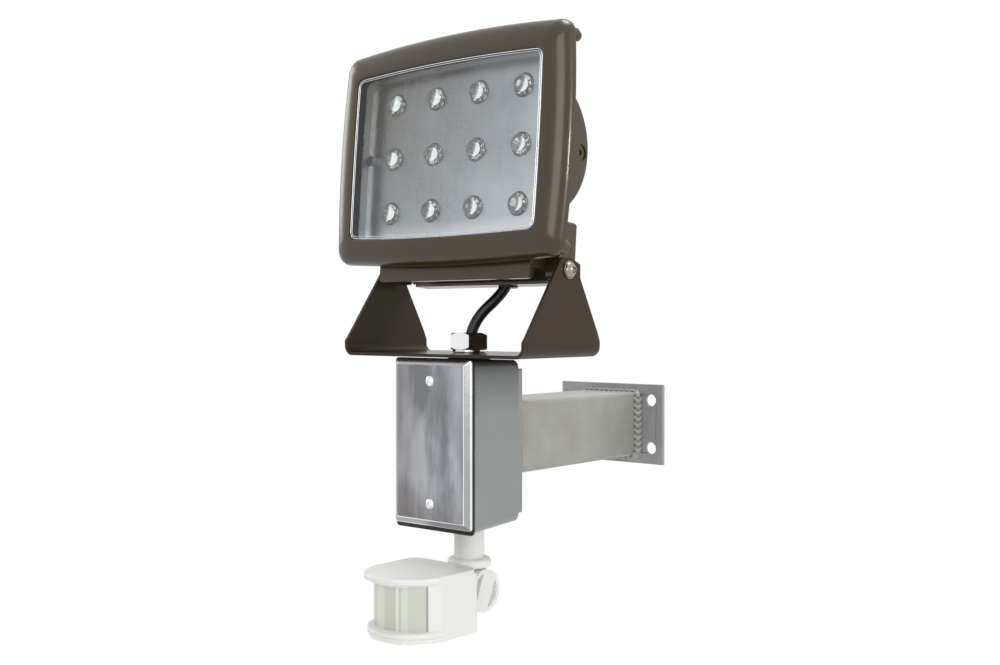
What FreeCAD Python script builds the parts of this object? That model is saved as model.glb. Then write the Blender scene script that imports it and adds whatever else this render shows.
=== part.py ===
"""Motion sensor security light: floodlight head, yoke, outlet box, wall arm and sensor.

Millimetres. The origin is the centre of the wall flange's back face. +Z is up, +X is to the
right for someone facing the wall, and the light stands out from the wall towards -Y.
"""
import FreeCAD, Part
import math
import os

V = FreeCAD.Vector
X_AXIS, Y_AXIS, Z_AXIS = V(1, 0, 0), V(0, 1, 0), V(0, 0, 1)

# ---- clearances ------------------------------------------------------------------------------
GAP = 0.3              # between faces of pieces that move past each other
HOLE_GAP = 0.3         # radial, a moving pin or stem in its hole
THREAD_GAP = 0.05      # radial, a screw in its thread
CUT = 1.0              # how far a cutting shape runs past the face it opens
BEYOND = 150.0         # longer than any piece is wide, for cuts right through

# ---- wall bracket ----------------------------------------------------------------------------
FLANGE_WIDTH, FLANGE_HEIGHT, FLANGE_THICK = 98.4, 63.5, 3.2
FLANGE_HOLE_R = 4.75
FLANGE_HOLES_X, FLANGE_HOLES_Z = 76.2, 38.1      # centre to centre
ARM_SIDE, ARM_WALL, ARM_CORNER_R = 50.8, 3.2, 3.0
ARM_LENGTH = 154.8
WELD_LEG = 5.0
WIRE_HOLE_R = 11.0
PLATE_WIDTH, PLATE_THICK = 62.0, 4.8
PLATE_UNDER_BOX_TOP, PLATE_ABOVE_BOX_BOTTOM = 7.4, 8.1
WELD_STEPS = ((1.0, 0.0), (0.62, 0.2), (0.2, 0.62), (0.02, 1.0))      # a hollowed bead

# ---- outlet box ------------------------------------------------------------------------------
BOX_DEPTH, BOX_WALL = 50.0, 3.0
BOX_HALF_WIDTH, BOX_UNDER_COVER_TOP, BOX_BELOW_COVER = 34.0, 0.75, 2.35
BOX_DRAFT_X, BOX_DRAFT_TOP, BOX_DRAFT_BOTTOM = 1.8, 1.2, 2.4     # each side is drawn in at the back
BOX_CORNER_R, BOX_BACK_R = 5.0, 1.6
HUB_R, HUB_DEPTH, HUB_ABOVE_BOX, HUB_INSIDE_BOX = 15.0, 8.0, 0.6, 1.9
BOX_SCREW_R, BOX_SCREW_HEAD, BOX_SCREW_END = 2.4, 3.0, 0.5
BOX_SCREWS_Z = 34.0
GROUND_SCREW_X, GROUND_SCREW_Z, GROUND_SCREW_ACROSS, GROUND_SCREW_HEAD = -18.0, 22.0, 7.9, 3.0

COVER_WIDTH, COVER_HEIGHT = 69.85, 114.3
COVER_SHEET, COVER_RISE, COVER_BEVEL, COVER_CORNER_R = 1.2, 3.9, 4.4, 2.4
COVER_SCREWS_Z = 41.65
COVER_RIM, COVER_RIM_IN, COVER_EDGE_ROUND = 1.0, 0.6, 0.5     # upright rim, and its easing
COVER_SCREW_R, COVER_SCREW_HEAD_R, COVER_SCREW_HEAD = 1.75, 3.7, 1.9
COVER_SCREW_SLOT, COVER_SCREW_SLOT_DEPTH, COVER_SCREW_SHORT = 0.6, 1.0, 4.0
GASKET_THICK, GASKET_SAG, GASKET_WINDOW_X, GASKET_WINDOW_Z = 3.2, 3.0, 27.0, 35.0
LUG_R, LUG_DEPTH, LUG_FLOOR = 5.5, 16.0, 2.0

# ---- cable gland -----------------------------------------------------------------------------
GLAND_R, GLAND_FOOT_R, GLAND_FOOT = 10.4, 11.7, 2.0
GLAND_REACH, GLAND_NECK_SHORT = 13.0, 3.0         # below the hub's top, and under the nut's top
NUT_ACROSS_FLATS, NUT_HEIGHT, NUT_TURN = 25.4, 11.8, 9.6
LOCKNUT_THICK, LOCKNUT_ACROSS_FLATS = 3.5, 25.4
LOCKNUT_CLEAR = 0.5                              # from a locknut's flat to the box's back wall
YOKE_WASHER_THICK = 0.5
CABLE_R = 3.9
WIRE_R, WIRE_PITCH, WIRES_IN_STEM = 1.2, 2.6, 35.0
TERMINAL_SIZE, TERMINAL_EDGE_R = (16.0, 11.0, 22.0), 1.0
SEAL_R, SEAL_LENGTH, SEAL_SUNK, SEAL_FIT = 7.0, 9.5, 0.5, 0.1

# ---- yoke ------------------------------------------------------------------------------------
YOKE_SHEET = 2.2
YOKE_DEPTH = 83.5
EAR_INSIDE = 80.0                                # half the gap between the ears
YOKE_BEND_R = 5.0                                # inside the bend
EAR_SHOULDER = 10.5                              # square part of each ear above the base
EAR_TOP_ABOVE_PIVOT = 8.0
EAR_TOP_FRONT, EAR_TOP_BACK = 10.5, 12.9         # half widths at the pivot
# slopes of an ear's outline: how far in, and how far up
EAR_FRONT_SLOPE, EAR_BACK_SLOPE = (2.5, 3.0), (3.2, 7.0)
EAR_FRONT_CORNER, EAR_BACK_CORNER, EAR_BACK_BEND = (3.5, 4.0), (10.0, 4.0), 5.0
PIVOT_ABOVE_BASE, PIVOT_BEHIND_HUB = 58.2, 6.0
PIVOT_R, PIVOT_HEAD_R, PIVOT_HEAD = 3.0, 5.3, 3.2
PIVOT_SOCKET, PIVOT_SOCKET_DEPTH = 4.0, 2.0
WASHER_R, WASHER_THICK = 6.0, 1.2

# ---- floodlight head, built upright and then tilted about the pivot --------------------------
REST_TILT = 4.7                                  # degrees, aiming up
FACE_AHEAD, FACE_ABOVE = 30.6, 80.8              # lamp face centre from the pivot
# outlines: half width at mid height and at the corners, top middle, top corner, bottom middle,
# bottom corner, corner radius
FRAME_OUTLINE = (104.9, 102.0, 81.2, 76.8, -79.2, -76.6, 10.5)
OPENING_OUTLINE = (85.6, 85.0, 60.6, 58.2, -61.0, -59.6, 6.5)
# the frame's swollen face rises from its edge to its crown at the opening
FRAME_BACK, FRAME_EDGE, FRAME_CROWN, FRAME_SWELL, FRAME_STEPS = 0.8, 2.2, 13.3, 2.15, 9
LIP_THICK = 1.5
FACE_SEAT = 3.5                                  # where the frame's shoulder meets the rim
GLASS_THICK, GLASS_OVERLAP, GLASS_GAP = 4.0, 5.0, 0.5
LENS_SEAL_WIDTH = 4.0
RIM_INSET, RIM_THICK = 4.6, 4.5                  # housing rim that the frame closes on
PAN_BACK, PAN_WALL = -11.0, 3.0
PAN_ROOM = 1.0                                   # the pan's mouth is wider than the opening
TRAY_FLOOR, TRAY_SHEET, TRAY_GAP, TRAY_DRAFT = -2.6, 0.8, 0.4, 0.8
BOARD_THICK, MOUNT_PLATE_THICK = 1.6, 3.0
BOARD_HALF_X, BOARD_HALF_Z = 73.0, 53.0
LED_COLUMNS, LED_ROWS, LED_PITCH_X, LED_PITCH_Z = 4, 3, 39.1, 39.6
LED_LENS_R, LED_DOME_R, LED_BASE, LED_DOME_SUNK = 7.5, 6.7, 1.8, 0.4
LED_HOLE_R = 7.8
CHIP_SIDE, CHIP_THICK, CHIP_POCKET_R, CHIP_ROOM = 3.6, 0.9, 3.4, 0.8
TRAY_SCREW_X, TRAY_SCREW_R, TRAY_SCREW_HEAD_R, TRAY_POST = 79.0, 1.6, 3.6, 4.5
CORNER_SCREW_X, CORNER_SCREW_Z = 94.0, 69.0
CORNER_BOSS_R, CORNER_BOSS, CORNER_BOSS_EDGE_R = 4.8, 10.0, 2.0
CORNER_SCREW_R, CORNER_SCREW_HEAD_R, CORNER_SCREW_HEAD, CORNER_SCREW_REACH = 2.0, 3.4, 2.0, 6.0

DRUM_R, DRUM_AXIS_DEPTH, DRUM_HALF_LENGTH, DRUM_EDGE_R = 47.0, -3.7, 79.6, 2.5
DRUM_WALL = 3.0
CHAMBER_FRONT, CHAMBER_STEP, CHAMBER_BACK = -5.5, -35.0, -50.7
CHAMBER_HALF_X, CHAMBER_REAR_HALF_X = 69.4, 64.0
CHAMBER_BOTTOM, APRON_BOTTOM, APRON_THICK, APRON_CORNER_R = -87.0, -88.6, 4.0, 3.0
CHAMBER_FRONT_BOTTOM = -80.0
CHAMBER_WALL = 2.4
APRON_TOP, CHAMBER_FRONT_TOP, CHAMBER_REAR_TOP = -40.0, -40.0, -50.0
REAR_ROOM_TOP, FRONT_ROOM_TOP, DRIVER_WINDOW = -53.0, -66.0, 40.0
WIRE_PASSAGE_R, WIRE_PASSAGE_DEPTH, WIRE_PASSAGE_LOW, WIRE_PASSAGE = 4.5, -24.0, -67.0, 32.0
PIVOT_LUG_FRONT, PIVOT_LUG_BACK, PIVOT_LUG_TOP = -22.6, -40.4, -48.0
PIVOT_LUG_DEPTH, PIVOT_LUG_LOW, PIVOT_LUG_EDGE_R = 11.3, 6.4, 2.5
VENT_DEPTH, VENT_R, VENT_SINK, VENT_HOLE_R = -41.7, 5.5, 1.0, 1.8
WIRE_COVER_THICK, WIRE_COVER_HALF_X, WIRE_COVER_CORNER_R = 2.0, 62.5, 2.5
WIRE_COVER_SCREW_X, WIRE_COVER_SCREW_R, WIRE_COVER_SCREW = 56.0, 1.5, 7.0
WIRE_COVER_SCREW_HEAD_R, WIRE_COVER_SCREW_HEAD = 2.8, 1.0
WIRE_PAD_HALF, WIRE_PAD_HEIGHT, WIRE_PAD_INTO_WALL = 5.0, 8.0, 0.5
BUSHING_R, BUSHING_FLANGE_R, BUSHING_FLANGE, BUSHING_GRIP = 5.1, 6.8, 1.2, 3.0
DRIVER_LENGTH, DRIVER_HEIGHT, DRIVER_DEPTH, DRIVER_EDGE_R = 128.0, 50.0, 25.0, 3.0

# the head cable's points: x and y from the hub's axis, height above the yoke's underside
CABLE_POINTS = ((0.0, 0.0, 4.2), (0.0, 0.0, 22.4), (20.8, 18.3, 47.5), (20.8, 18.3, 55.5))
CABLE_ARC_SHARE = 0.45

# ---- sensor ----------------------------------------------------------------------------------
STEM_R, STEM_BORE_R, STEM_REACH = 10.7, 7.0, 14.6      # reach above the hub's lower face
COLLAR_R, COLLAR_HIGH, COLLAR_LOW, COLLAR_EDGE_R = 15.3, 21.9, 15.3, 2.6    # from the knuckle's axis
COLLAR_FLOOR = 2.6
NECK_HALF = 8.0
KNUCKLE_DROP, KNUCKLE_R, KNUCKLE_HALF, KNUCKLE_EDGE_R = 47.6, 14.9, 15.2, 1.5    # drop under the hub
NECK_SIDE_IN = 2.0
TONGUE_HALF, TONGUE_R, TONGUE_ARM_HALF, TONGUE_GAP = 5.0, 12.0, 7.4, 0.4
CHEEK_OUTSIDE = 9.0
CLAMP_R, CLAMP_FIT, CLAMP_END = 2.5, 0.08, 3.0
KNOB_RIM, KNOB_RECESS, KNOB_BAR, KNOB_BAR_TILT = 2.8, 3.4, 13.0, 23.0
CLAMP_NUT_R, CLAMP_NUT_THICK = 5.0, 3.0

SENSOR_HALF_WIDTH = 29.6
SENSOR_BACK, SENSOR_SHOULDER, SENSOR_CORNER = 23.6, 61.4, 81.9    # ahead of the hub axis
SENSOR_CORNER_HALF, SENSOR_FRONT = 15.0, 84.7
SENSOR_BACK_R = 4.0
SENSOR_HIGH, SENSOR_LOW, SENSOR_SEAM_LOW = 18.4, 20.8, 18.3      # above and under the knuckle's axis
SENSOR_WALL = 2.4
LENS_R, LENS_SHEET, LENS_AXIS, LENS_HALF_ANGLE, LENS_FIT = 30.0, 1.2, 51.2, 55.0, 0.2
LENS_HIGH, LENS_LOW = 16.0, 13.5
SILL_THICK, SILL_IN = 2.3, 5.0
HOOD_HIGH, HOOD_R, HOOD_AXIS, HOOD_HALF_WIDTH, HOOD_EDGE_R = 22.0, 31.2, 58.8, 30.6, 1.5
HOOD_BACK_R = 10.0
BOARD_AHEAD, SENSOR_BOARD_THICK = 54.0, 1.6
SENSOR_BOARD_HALF, SENSOR_BOARD_SHORT = 21.0, 0.5
ELEMENT_R, ELEMENT_LENGTH, ELEMENT_BRIM = 4.6, 4.5, 0.6
DIAL_R, DIAL_THICK, DIAL_SHAFT_R, DIAL_X, DIAL_AHEAD = 4.5, 2.0, 1.5, 12.0, 46.0
DIAL_SHAFT, DIAL_SLOT, DIAL_SLOT_DEPTH, DIAL_SLOT_SHORT = 3.5, 0.6, 1.0, 1.0
ADJUSTER_SIDE, ADJUSTER_HEIGHT = 9.0, 5.0

# ---- places worked out from the sizes --------------------------------------------------------
ARM_BACK = -FLANGE_THICK
ARM_FRONT = ARM_BACK - ARM_LENGTH
BOX_BACK = ARM_FRONT - PLATE_THICK
BOX_FRONT = BOX_BACK - BOX_DEPTH
BOX_TOP = COVER_HEIGHT / 2 - BOX_UNDER_COVER_TOP
BOX_BOTTOM = -COVER_HEIGHT / 2 - BOX_BELOW_COVER
PLATE_TOP, PLATE_BOTTOM = BOX_TOP - PLATE_UNDER_BOX_TOP, BOX_BOTTOM + PLATE_ABOVE_BOX_BOTTOM
RIM_Y = BOX_FRONT - GASKET_THICK
HUB_Y = BOX_BACK - BOX_WALL - LOCKNUT_ACROSS_FLATS / 2 - LOCKNUT_CLEAR
HUB_TOP, HUB_BOTTOM = BOX_TOP + HUB_ABOVE_BOX, BOX_BOTTOM + HUB_INSIDE_BOX
GLAND_BOTTOM = HUB_TOP - GLAND_REACH
YOKE_BOTTOM = HUB_TOP + YOKE_WASHER_THICK + GAP
YOKE_TOP = YOKE_BOTTOM + YOKE_SHEET
GLAND_SHOULDER = YOKE_TOP + GAP
NUT_BOTTOM = GLAND_SHOULDER + GLAND_FOOT
NUT_TOP = NUT_BOTTOM + NUT_HEIGHT
PIVOT = V(0, HUB_Y + PIVOT_BEHIND_HUB, YOKE_BOTTOM + PIVOT_ABOVE_BASE)
EAR_OUTSIDE = EAR_INSIDE + YOKE_SHEET
FACE_Y, FACE_Z = PIVOT.y - FACE_AHEAD, PIVOT.z + FACE_ABOVE
GLASS_FRONT = FRAME_CROWN - LIP_THICK
GLASS_BACK = GLASS_FRONT - GLASS_THICK
TRAY_BACK = TRAY_FLOOR - TRAY_SHEET
BOARD_BACK = TRAY_BACK - BOARD_THICK
MOUNT_BACK = BOARD_BACK - MOUNT_PLATE_THICK
WIRE_COVER_MIDDLE = (CHAMBER_STEP + CHAMBER_BACK) / 2
STEM_TOP = HUB_BOTTOM + STEM_REACH
KNUCKLE_Z = HUB_BOTTOM - KNUCKLE_DROP
KNUCKLE = V(0, HUB_Y, KNUCKLE_Z)
COLLAR_TOP, COLLAR_BOTTOM = KNUCKLE_Z + COLLAR_HIGH, KNUCKLE_Z + COLLAR_LOW
SENSOR_TOP, SENSOR_BOTTOM = KNUCKLE_Z + SENSOR_HIGH, KNUCKLE_Z - SENSOR_LOW
SENSOR_SEAM = KNUCKLE_Z - SENSOR_SEAM_LOW
LENS_TOP, LENS_BOTTOM = KNUCKLE_Z + LENS_HIGH, KNUCKLE_Z - LENS_LOW
HOOD_TOP = KNUCKLE_Z + HOOD_HIGH


# ---- small tools -----------------------------------------------------------------------------
def block(x0, x1, y0, y1, z0, z1):
    return Part.makeBox(x1 - x0, y1 - y0, z1 - z0, V(x0, y0, z0))


def rod(radius, start, axis, length):
    return Part.makeCylinder(radius, length, start, axis)


def ring(outer, inner, start, axis, length):
    return rod(outer, start, axis, length).cut(rod(inner, start, axis, length))


def prism(points, direction):
    """A straight-sided solid from a closed outline and the way it is drawn out."""
    return Part.Face(Part.makePolygon(points + [points[0]])).extrude(direction)


def hexagon(across_flats, centre, height, turn=0.0):
    radius = across_flats / math.sqrt(3)
    angles = [math.radians(turn + 60 * i) for i in range(6)]
    points = [centre + V(radius * math.cos(a), radius * math.sin(a), 0) for a in angles]
    return prism(points, V(0, 0, height))


def hex_nut(across_flats, centre, height, turn=0.0):
    """A hexagon with its corners turned off at both ends."""
    radius = across_flats / math.sqrt(3)
    chamfer = (radius - across_flats / 2) * 0.9
    lower = Part.makeCone(radius - chamfer, radius + height - chamfer, height, centre, Z_AXIS)
    upper = Part.makeCone(radius + height - chamfer, radius - chamfer, height, centre, Z_AXIS)
    return hexagon(across_flats, centre, height, turn).common(lower).common(upper)


def rounded_outline(half_x, z_low, z_high, radius, y):
    """A rounded rectangle in the XZ plane at y."""
    edges = []
    corners = ((half_x, z_high, 0), (-half_x, z_high, 90), (-half_x, z_low, 180), (half_x, z_low, 270))
    ends = []
    for x, z, start in corners:
        sx, sz = math.copysign(1, x), 1 if z == z_high else -1
        cx, cz = x - sx * radius, z - sz * radius
        arc = [V(cx + radius * math.cos(math.radians(start + s)), y,
                 cz + radius * math.sin(math.radians(start + s))) for s in (0, 45, 90)]
        ends.append(arc)
    for i, arc in enumerate(ends):
        edges.append(Part.Arc(*arc).toShape())
        edges.append(Part.makeLine(arc[2], ends[(i + 1) % 4][0]))
    return Part.Wire(edges)


def loft(wires):
    return Part.makeLoft(wires, True, True)


def slab(half_x, z_low, z_high, radius, y0, y1):
    """A rounded rectangular plate between two depths."""
    return Part.Face(rounded_outline(half_x, z_low, z_high, radius, y0)).extrude(V(0, y1 - y0, 0))


def edges_at(shape, test):
    return [e for e in shape.Edges if all(test(v.Point) for v in e.Vertexes)]


def mirrored(shape):
    """The shape and its twin on the other side of the middle plane."""
    return Part.makeCompound([shape, shape.mirror(V(0, 0, 0), X_AXIS)])


def blend(a, b, share):
    return tuple(p + (q - p) * share for p, q in zip(a, b))


def grown(outline, by):
    """A pillow outline moved outwards by the same distance all round."""
    side, corner, top, top_corner, bottom, bottom_corner, radius = outline
    return (side + by, corner + by, top + by, top_corner + by, bottom - by, bottom_corner - by,
            max(radius + by, 1.0))


def pillow(outline, depth):
    """The head's bowed outline, as a closed wire at a depth ahead of the lamp face."""
    side, corner, top, top_corner, bottom, bottom_corner, r = outline
    y, z0 = FACE_Y - depth, FACE_Z
    k = r * (1 - math.sqrt(0.5))

    def point(x, z):
        return V(x, y, z0 + z)
    marks = (
        (point(corner, bottom_corner + r), point(side, 0), point(corner, top_corner - r)),
        (point(corner, top_corner - r), point(corner - k, top_corner - k), point(corner - r, top_corner)),
        (point(corner - r, top_corner), point(0, top), point(r - corner, top_corner)),
        (point(r - corner, top_corner), point(k - corner, top_corner - k), point(-corner, top_corner - r)),
        (point(-corner, top_corner - r), point(-side, 0), point(-corner, bottom_corner + r)),
        (point(-corner, bottom_corner + r), point(k - corner, bottom_corner + k),
         point(r - corner, bottom_corner)),
        (point(r - corner, bottom_corner), point(0, bottom), point(corner - r, bottom_corner)),
        (point(corner - r, bottom_corner), point(corner - k, bottom_corner + k),
         point(corner, bottom_corner + r)),
    )
    return Part.Wire([Part.Arc(*m).toShape() for m in marks])


def pillow_slab(outline, back, front):
    return Part.Face(pillow(outline, back)).extrude(V(0, back - front, 0))


def tilted(shape):
    """Turn an upright piece of the head to its rest aim."""
    turned = shape.copy()
    turned.rotate(PIVOT, X_AXIS, -REST_TILT)
    return turned


def at_depth(x, depth, z):
    return V(x, FACE_Y - depth, FACE_Z + z)


def depth_block(half_x, back, front, z0, z1):
    return block(-half_x, half_x, FACE_Y - front, FACE_Y - back, FACE_Z + z0, FACE_Z + z1)


# ---- wall bracket ----------------------------------------------------------------------------
def wall_flange():
    x, z = FLANGE_WIDTH / 2, FLANGE_HEIGHT / 2
    plate = block(-x, x, -FLANGE_THICK, 0, -z, z)
    for sx in (-1, 1):
        for sz in (-1, 1):
            start = V(sx * FLANGE_HOLES_X / 2, -FLANGE_THICK, sz * FLANGE_HOLES_Z / 2)
            plate = plate.cut(rod(FLANGE_HOLE_R, start, Y_AXIS, FLANGE_THICK))
    return plate.cut(rod(WIRE_HOLE_R, V(0, -FLANGE_THICK, 0), Y_AXIS, FLANGE_THICK))


def arm_tube():
    half, inner = ARM_SIDE / 2, ARM_SIDE / 2 - ARM_WALL
    outer = slab(half, -half, half, ARM_CORNER_R, ARM_FRONT, ARM_BACK)
    return outer.cut(slab(inner, -inner, inner, ARM_CORNER_R / 2, ARM_FRONT, ARM_BACK))


def weld(face_y, towards):
    """A fillet weld round the arm, on the face at face_y; it runs out along the arm."""
    half = ARM_SIDE / 2
    wires = [rounded_outline(half + WELD_LEG * out, -half - WELD_LEG * out, half + WELD_LEG * out,
                             ARM_CORNER_R + WELD_LEG * out, face_y + towards * WELD_LEG * along)
             for out, along in WELD_STEPS]
    tip = face_y + towards * WELD_LEG
    return loft(wires).cut(slab(half, -half, half, ARM_CORNER_R, min(face_y, tip), max(face_y, tip)))


def mounting_plate():
    plate = block(-PLATE_WIDTH / 2, PLATE_WIDTH / 2, BOX_BACK, ARM_FRONT, PLATE_BOTTOM, PLATE_TOP)
    plate = plate.cut(rod(WIRE_HOLE_R, V(0, BOX_BACK, 0), Y_AXIS, PLATE_THICK))
    for z in (-BOX_SCREWS_Z, BOX_SCREWS_Z):
        plate = plate.cut(rod(BOX_SCREW_R + THREAD_GAP, V(0, BOX_BACK, z), Y_AXIS, PLATE_THICK))
    return plate


# ---- outlet box ------------------------------------------------------------------------------
def box_wires(inset, y_front, y_back, back_round):
    """Outlines of the drafted box from its mouth to its back, each moved inwards by inset."""
    def at(y, extra):
        share = (y - BOX_FRONT) / BOX_DEPTH
        x = BOX_HALF_WIDTH - BOX_DRAFT_X * share - inset - extra
        top = BOX_TOP - BOX_DRAFT_TOP * share - inset - extra
        bottom = BOX_BOTTOM + BOX_DRAFT_BOTTOM * share + inset + extra
        return rounded_outline(x, bottom, top, max(BOX_CORNER_R - inset, 1.5), y)
    r = back_round
    return [at(y_front, 0), at(y_back - r, 0), at(y_back - 0.3 * r, 0.3 * r), at(y_back, r)]


def outlet_box():
    shell = loft(box_wires(0, BOX_FRONT, BOX_BACK, BOX_BACK_R))
    cavity = loft(box_wires(BOX_WALL, BOX_FRONT, BOX_BACK - BOX_WALL, BOX_BACK_R / 2))
    hollow = shell.cut(cavity)
    for z in (-COVER_SCREWS_Z, COVER_SCREWS_Z):
        lug = rod(LUG_R, V(0, BOX_FRONT, z), Y_AXIS, LUG_DEPTH)
        outer_z = BOX_TOP - BOX_WALL / 2 if z > 0 else BOX_BOTTOM + BOX_WALL / 2
        web = block(-LUG_R, LUG_R, BOX_FRONT, BOX_FRONT + LUG_DEPTH, min(z, outer_z), max(z, outer_z))
        hollow = hollow.fuse(lug.fuse(web))
    top_hub = rod(HUB_R, V(0, HUB_Y, HUB_TOP - HUB_DEPTH), Z_AXIS, HUB_DEPTH)
    bottom_hub = rod(HUB_R, V(0, HUB_Y, HUB_BOTTOM), Z_AXIS, HUB_DEPTH)
    box = hollow.fuse(top_hub).fuse(bottom_hub)
    box = box.cut(rod(GLAND_R + THREAD_GAP, V(0, HUB_Y, 0), Z_AXIS, HUB_TOP + CUT))
    box = box.cut(rod(STEM_R + THREAD_GAP, V(0, HUB_Y, BOX_BOTTOM - CUT), Z_AXIS, -BOX_BOTTOM))
    box = box.cut(rod(WIRE_HOLE_R, V(0, BOX_BACK - 2 * BOX_WALL, 0), Y_AXIS, 3 * BOX_WALL))
    for z in (-COVER_SCREWS_Z, COVER_SCREWS_Z):
        box = box.cut(rod(COVER_SCREW_R + THREAD_GAP, V(0, BOX_FRONT, z), Y_AXIS, LUG_DEPTH - LUG_FLOOR))
    for z in (-BOX_SCREWS_Z, BOX_SCREWS_Z):
        box = box.cut(rod(BOX_SCREW_R + THREAD_GAP, V(0, BOX_BACK - 2 * BOX_WALL, z), Y_AXIS, 3 * BOX_WALL))
    return box.removeSplitter()


def box_screws():
    screws = []
    for z in (-BOX_SCREWS_Z, BOX_SCREWS_Z):
        head_y = BOX_BACK - BOX_WALL
        shank = rod(BOX_SCREW_R, V(0, head_y, z), Y_AXIS, BOX_WALL + PLATE_THICK - BOX_SCREW_END)
        screws.append(shank.fuse(rod(BOX_SCREW_R * 2, V(0, head_y - BOX_SCREW_HEAD, z), Y_AXIS,
                                     BOX_SCREW_HEAD)))
    return Part.makeCompound(screws)


def ground_screw():
    start = V(GROUND_SCREW_X, BOX_BACK - BOX_WALL, GROUND_SCREW_Z)
    head = hexagon(GROUND_SCREW_ACROSS, V(0, 0, 0), GROUND_SCREW_HEAD)
    head.rotate(V(0, 0, 0), X_AXIS, 90)
    head.translate(start)
    return head


def cover_gasket():
    top = COVER_HEIGHT / 2
    pad = slab(COVER_WIDTH / 2, -top - GASKET_SAG, top, COVER_CORNER_R, RIM_Y, BOX_FRONT)
    pad = pad.cut(block(-GASKET_WINDOW_X, GASKET_WINDOW_X, RIM_Y, BOX_FRONT,
                        -GASKET_WINDOW_Z, GASKET_WINDOW_Z))
    for z in (-COVER_SCREWS_Z, COVER_SCREWS_Z):
        pad = pad.cut(rod(COVER_SCREW_R + GAP, V(0, RIM_Y, z), Y_AXIS, GASKET_THICK))
    return pad


def cover_plate():
    def skin(inset, front):
        x, z, r = COVER_WIDTH / 2, COVER_HEIGHT / 2, COVER_CORNER_R
        ease = COVER_RIM_IN
        steps = ((0, 0), (ease, -COVER_RIM), (COVER_BEVEL - ease, front + COVER_EDGE_ROUND),
                 (COVER_BEVEL + ease, front))
        return [rounded_outline(x - inset - s, -z + inset + s, z - inset - s,
                                max(r - s / 2, COVER_SHEET), RIM_Y + y) for s, y in steps]
    outer = loft(skin(0, -COVER_RISE))
    inner = loft(skin(COVER_SHEET, -COVER_RISE + COVER_SHEET))
    plate = outer.cut(inner)
    for z in (-COVER_SCREWS_Z, COVER_SCREWS_Z):
        plate = plate.cut(rod(COVER_SCREW_R + GAP, V(0, RIM_Y - COVER_RISE - CUT, z), Y_AXIS, COVER_RISE))
    return plate


def cover_screws():
    """Raised oval heads with a slot."""
    face = RIM_Y - COVER_RISE
    screws = []
    for z in (-COVER_SCREWS_Z, COVER_SCREWS_Z):
        shank = rod(COVER_SCREW_R, V(0, face, z), Y_AXIS,
                    COVER_RISE + GASKET_THICK + LUG_DEPTH - COVER_SCREW_SHORT)
        dome_r = (COVER_SCREW_HEAD_R ** 2 + COVER_SCREW_HEAD ** 2) / (2 * COVER_SCREW_HEAD)
        ball = Part.makeSphere(dome_r, V(0, face - COVER_SCREW_HEAD + dome_r, z))
        head = ball.common(rod(COVER_SCREW_HEAD_R, V(0, face - COVER_SCREW_HEAD, z), Y_AXIS,
                               COVER_SCREW_HEAD))
        slot = block(-COVER_SCREW_SLOT, COVER_SCREW_SLOT, face - COVER_SCREW_HEAD,
                     face - COVER_SCREW_HEAD + COVER_SCREW_SLOT_DEPTH,
                     z - COVER_SCREW_HEAD_R, z + COVER_SCREW_HEAD_R)
        screws.append(shank.fuse(head.cut(slot)))
    return Part.makeCompound(screws)


def splice_wires():
    """Three insulated wires from the cable's jacket down to the sensor stem."""
    low = STEM_TOP - WIRES_IN_STEM
    top = YOKE_BOTTOM + CABLE_POINTS[0][2] - GAP
    return Part.makeCompound([rod(WIRE_R, V(i * WIRE_PITCH, HUB_Y, low), Z_AXIS, top - low)
                              for i in (-1, 0, 1)])


def terminal_block():
    """The connector that joins the wires in the middle of the box."""
    x, y, z = TERMINAL_SIZE
    case = block(-x / 2, x / 2, HUB_Y - y / 2, HUB_Y + y / 2, -z / 2, z / 2)
    case = case.makeFillet(TERMINAL_EDGE_R, case.Edges)
    for i in (-1, 0, 1):
        case = case.cut(rod(WIRE_R + THREAD_GAP, V(i * WIRE_PITCH, HUB_Y, -z / 2), Z_AXIS, z))
    return case


# ---- cable gland -----------------------------------------------------------------------------
def gland_body():
    neck = rod(GLAND_R, V(0, HUB_Y, GLAND_BOTTOM), Z_AXIS, NUT_TOP - GLAND_NECK_SHORT - GLAND_BOTTOM)
    foot = rod(GLAND_FOOT_R, V(0, HUB_Y, GLAND_SHOULDER), Z_AXIS, GLAND_FOOT)
    return neck.fuse(foot).cut(rod(SEAL_R, V(0, HUB_Y, GLAND_BOTTOM), Z_AXIS, NUT_TOP - GLAND_BOTTOM))


def gland_nut():
    centre = V(0, HUB_Y, NUT_BOTTOM)
    nut = hex_nut(NUT_ACROSS_FLATS, centre, NUT_HEIGHT, NUT_TURN)
    nut = nut.cut(rod(GLAND_R + THREAD_GAP, centre, Z_AXIS, NUT_HEIGHT - GLAND_NECK_SHORT))
    return nut.cut(rod(SEAL_R, centre, Z_AXIS, NUT_HEIGHT))


def gland_seal():
    bottom = NUT_TOP - SEAL_SUNK - SEAL_LENGTH
    return ring(SEAL_R, CABLE_R + SEAL_FIT, V(0, HUB_Y, bottom), Z_AXIS, SEAL_LENGTH)


def gland_locknut():
    inside = HUB_TOP - HUB_DEPTH
    nut = hexagon(LOCKNUT_ACROSS_FLATS, V(0, HUB_Y, inside - LOCKNUT_THICK), LOCKNUT_THICK)
    return nut.cut(rod(GLAND_R + THREAD_GAP, V(0, HUB_Y, inside - LOCKNUT_THICK), Z_AXIS, LOCKNUT_THICK))


def yoke_washer():
    return ring(HUB_R, GLAND_R + THREAD_GAP, V(0, HUB_Y, HUB_TOP), Z_AXIS, YOKE_WASHER_THICK)


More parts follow.
